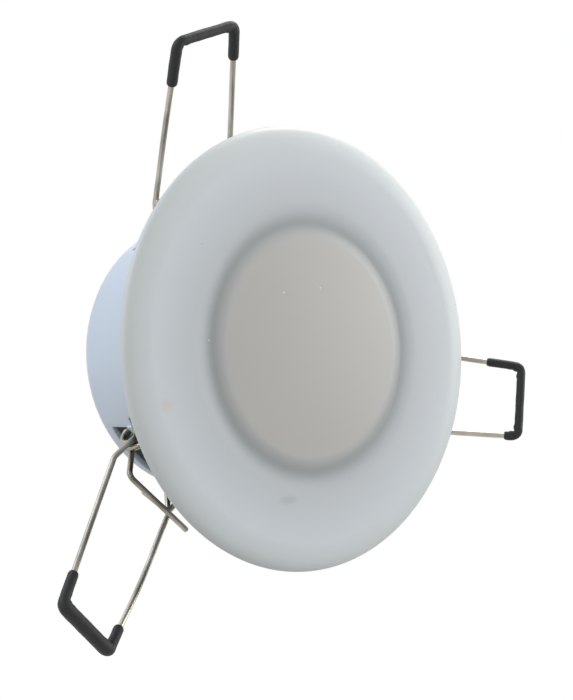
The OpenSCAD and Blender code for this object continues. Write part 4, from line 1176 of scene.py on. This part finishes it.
wire_nodes = wire_tree()
for clip in range(3):
    number = clip + 1
    coils = drawn_wire([left_line(clip), right_line], clip, 2.0 + clip)
    arm = drawn_wire([arm_line(clip)], clip, 5.0 + clip)
    sleeve = drawn_sleeve(clip)
    for shaped, name, node, finish, body, slot in (
            (coils, "clip_coils", "spring_coils", spring, "clip", "spring_wire"),
            (arm, "clip_arm", "spring_arm", spring, "arm", "spring_wire"),
            (sleeve, "clip_sleeve", "arm_sleeve", rubber, "arm", "sleeve_rubber")):
        made = object_from(shaped, f"{name}_{number}", finish, f"{body}_{number}", slot, 60)
        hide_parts(f"{node}_{number}")

# ---------- finishes of the pieces inside, kept from the CAD ----------

inside = {"reflector_cup": reflector_finish, "led_board": board_white, "led_packages": phosphor,
          "board_screws": zinc, "thermal_pad": pad_finish, "sink_screws": zinc, "driver_tray": tray_finish,
          "driver_lid": tray_finish, "driver_board": board_green, "transformer_core": ferrite,
          "transformer_coil": tape, "bulk_capacitor": can_finish, "output_capacitor": can_finish,
          "film_capacitor": film_finish, "rectifier": epoxy, "led_leads": red_pvc, "mains_leads": brown_pvc,
          "terminal_block": nylon, "terminal_screws": zinc}
for name, finish in inside.items():
    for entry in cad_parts[name].material_slots:
        entry.material = finish

# ---------- camera at the photograph's viewing angle ----------
# Fitted to the rim, the crease, the housing's outline and the clips' corners in the photograph:
# place of the rim's centre in the camera's frame in mm, then the lamp's tilt, roll and turn.

RIM_AT = Vector((4.5674, -0.5070, 450.0))
TILT = 0.70387
ROLL = 0.07064
TURN = 2.31564
FOCAL_PX = 1740.8
PHOTO_H_PX = 700
SENSOR_H = 24.0
axis = Vector((-math.sin(TILT) * math.cos(ROLL), math.sin(TILT) * math.sin(ROLL), math.cos(TILT)))
level = Vector((math.cos(TILT) * math.cos(ROLL), -math.cos(TILT) * math.sin(ROLL), math.sin(TILT)))
cross = axis.cross(level)
lamp_x = math.cos(TURN) * level + math.sin(TURN) * cross
lamp_y = -math.sin(TURN) * level + math.cos(TURN) * cross
# from the camera's frame, with right, down and ahead as its axes, to the lamp's
to_lamp_frame = Matrix((lamp_x, lamp_y, axis))
right, down, ahead = to_lamp_frame.col
eye = (Vector((0, 0, rim_z)) - to_lamp_frame @ RIM_AT) * MM

camera_data = bpy.data.cameras.new("photo_camera")
camera_data.sensor_fit = "VERTICAL"
camera_data.sensor_height = SENSOR_H
camera_data.lens = FOCAL_PX * SENSOR_H / PHOTO_H_PX
camera_data.clip_start = 0.01
camera_data.clip_end = 20.0
camera = linked("photo_camera", camera_data)
turning = Matrix((right, -down, -ahead)).transposed().to_4x4()
camera.matrix_world = Matrix.Translation(eye) @ turning
bpy.context.scene.camera = camera

# ---------- plain pale floor, soft studio light ----------

FLOOR_Z = -0.62
FLOOR_HALF = 4
FLOOR_GLOW = 0.7
AMBIENT = 0.318
LIT_POINT = Vector((0, 0, 0.02))
floor_mesh = bpy.data.meshes.new("studio_floor")
floor_corners = [(x * FLOOR_HALF, y * FLOOR_HALF, FLOOR_Z) for x, y in ((-1, -1), (1, -1), (1, 1), (-1, 1))]
floor_mesh.from_pydata(floor_corners, [], [(0, 1, 2, 3)])
floor = linked("studio_floor", floor_mesh)
floor_finish, tree, place = new_material("studio_floor_paint", "#F2F2F0")
cloud = add_node(tree, "ShaderNodeTexNoise", {"Vector": place, "Scale": per_mm(333.3)})
tone = add_node(tree, "ShaderNodeMix", {0: cloud.outputs[0], 6: colour("#F3F3F2"), 7: colour("#F7F7F6")},
                data_type="RGBA")
paint = add_node(tree, "ShaderNodeBsdfPrincipled", {"Base Color": tone.outputs[2], "Roughness": 0.8})
# the floor looks pale to the camera without more light on the object, and still takes its shadow
glow = add_node(tree, "ShaderNodeEmission", {"Color": tone.outputs[2], "Strength": 1.0})
path = add_node(tree, "ShaderNodeLightPath").outputs
seen = add_node(tree, "ShaderNodeMath", {0: path["Is Camera Ray"], 1: path["Is Glossy Ray"]},
                operation="MAXIMUM")
part = add_node(tree, "ShaderNodeMath", {0: seen.outputs[0], 1: FLOOR_GLOW}, operation="MULTIPLY")
close_material(tree, add_node(tree, "ShaderNodeMixShader",
                              {0: part.outputs[0], 1: paint.outputs[0], 2: glow.outputs[0]}))
floor_mesh.materials.append(floor_finish)


def soft_light(name, towards, distance, size, power, tint="#FFFFFF"):
    """A square soft light, placed by how far right, up and towards the camera it stands."""
    data = bpy.data.lights.new(name, "AREA")
    data.shape = "SQUARE"
    data.size = size
    data.energy = power
    data.color = colour(tint)[:3]
    made = linked(name, data)
    way = (right * towards[0] - down * towards[1] - ahead * towards[2]).normalized()
    made.location = LIT_POINT + way * distance
    made.rotation_euler = way.to_track_quat("Z", "Y").to_euler()


# distance and size in metres, power in watts
soft_light("key_light", (0.8, 0.7, -0.5), 1.0, 0.8, 1.8)
soft_light("right_light", (1.0, 0.15, -0.15), 0.9, 0.4, 2.2)
soft_light("top_light", (0.4, 1.0, -0.5), 0.9, 0.35, 3.8)
soft_light("upper_left_light", (-0.8, 0.7, 0.1), 1.0, 0.6, 3.0, "#DCE9FF")
soft_light("front_left_light", (-0.7, 0.3, 0.6), 1.0, 0.8, 2.5)

# white wherever the camera or a reflection sees past the lamp, and soft light on the lamp itself
world = bpy.data.worlds.new("studio_world")
bpy.context.scene.world = world
world.use_nodes = True
tree = world.node_tree
tree.nodes.clear()
path = add_node(tree, "ShaderNodeLightPath").outputs
direct = add_node(tree, "ShaderNodeMath", {0: path["Is Camera Ray"], 1: path["Is Transmission Ray"]},
                  operation="MAXIMUM")
seen = add_node(tree, "ShaderNodeMath", {0: direct.outputs[0], 1: path["Is Glossy Ray"]},
                operation="MAXIMUM")
white = add_node(tree, "ShaderNodeBackground", {"Color": (1, 1, 1, 1), "Strength": 1.0})
ambient = add_node(tree, "ShaderNodeBackground", {"Color": colour("#F8F9FB"), "Strength": AMBIENT})
both = add_node(tree, "ShaderNodeMixShader",
                {0: seen.outputs[0], 1: ambient.outputs[0], 2: white.outputs[0]})
add_node(tree, "ShaderNodeOutputWorld", {"Surface": both.outputs[0]})

bpy.context.scene.view_settings.view_transform = "Standard"
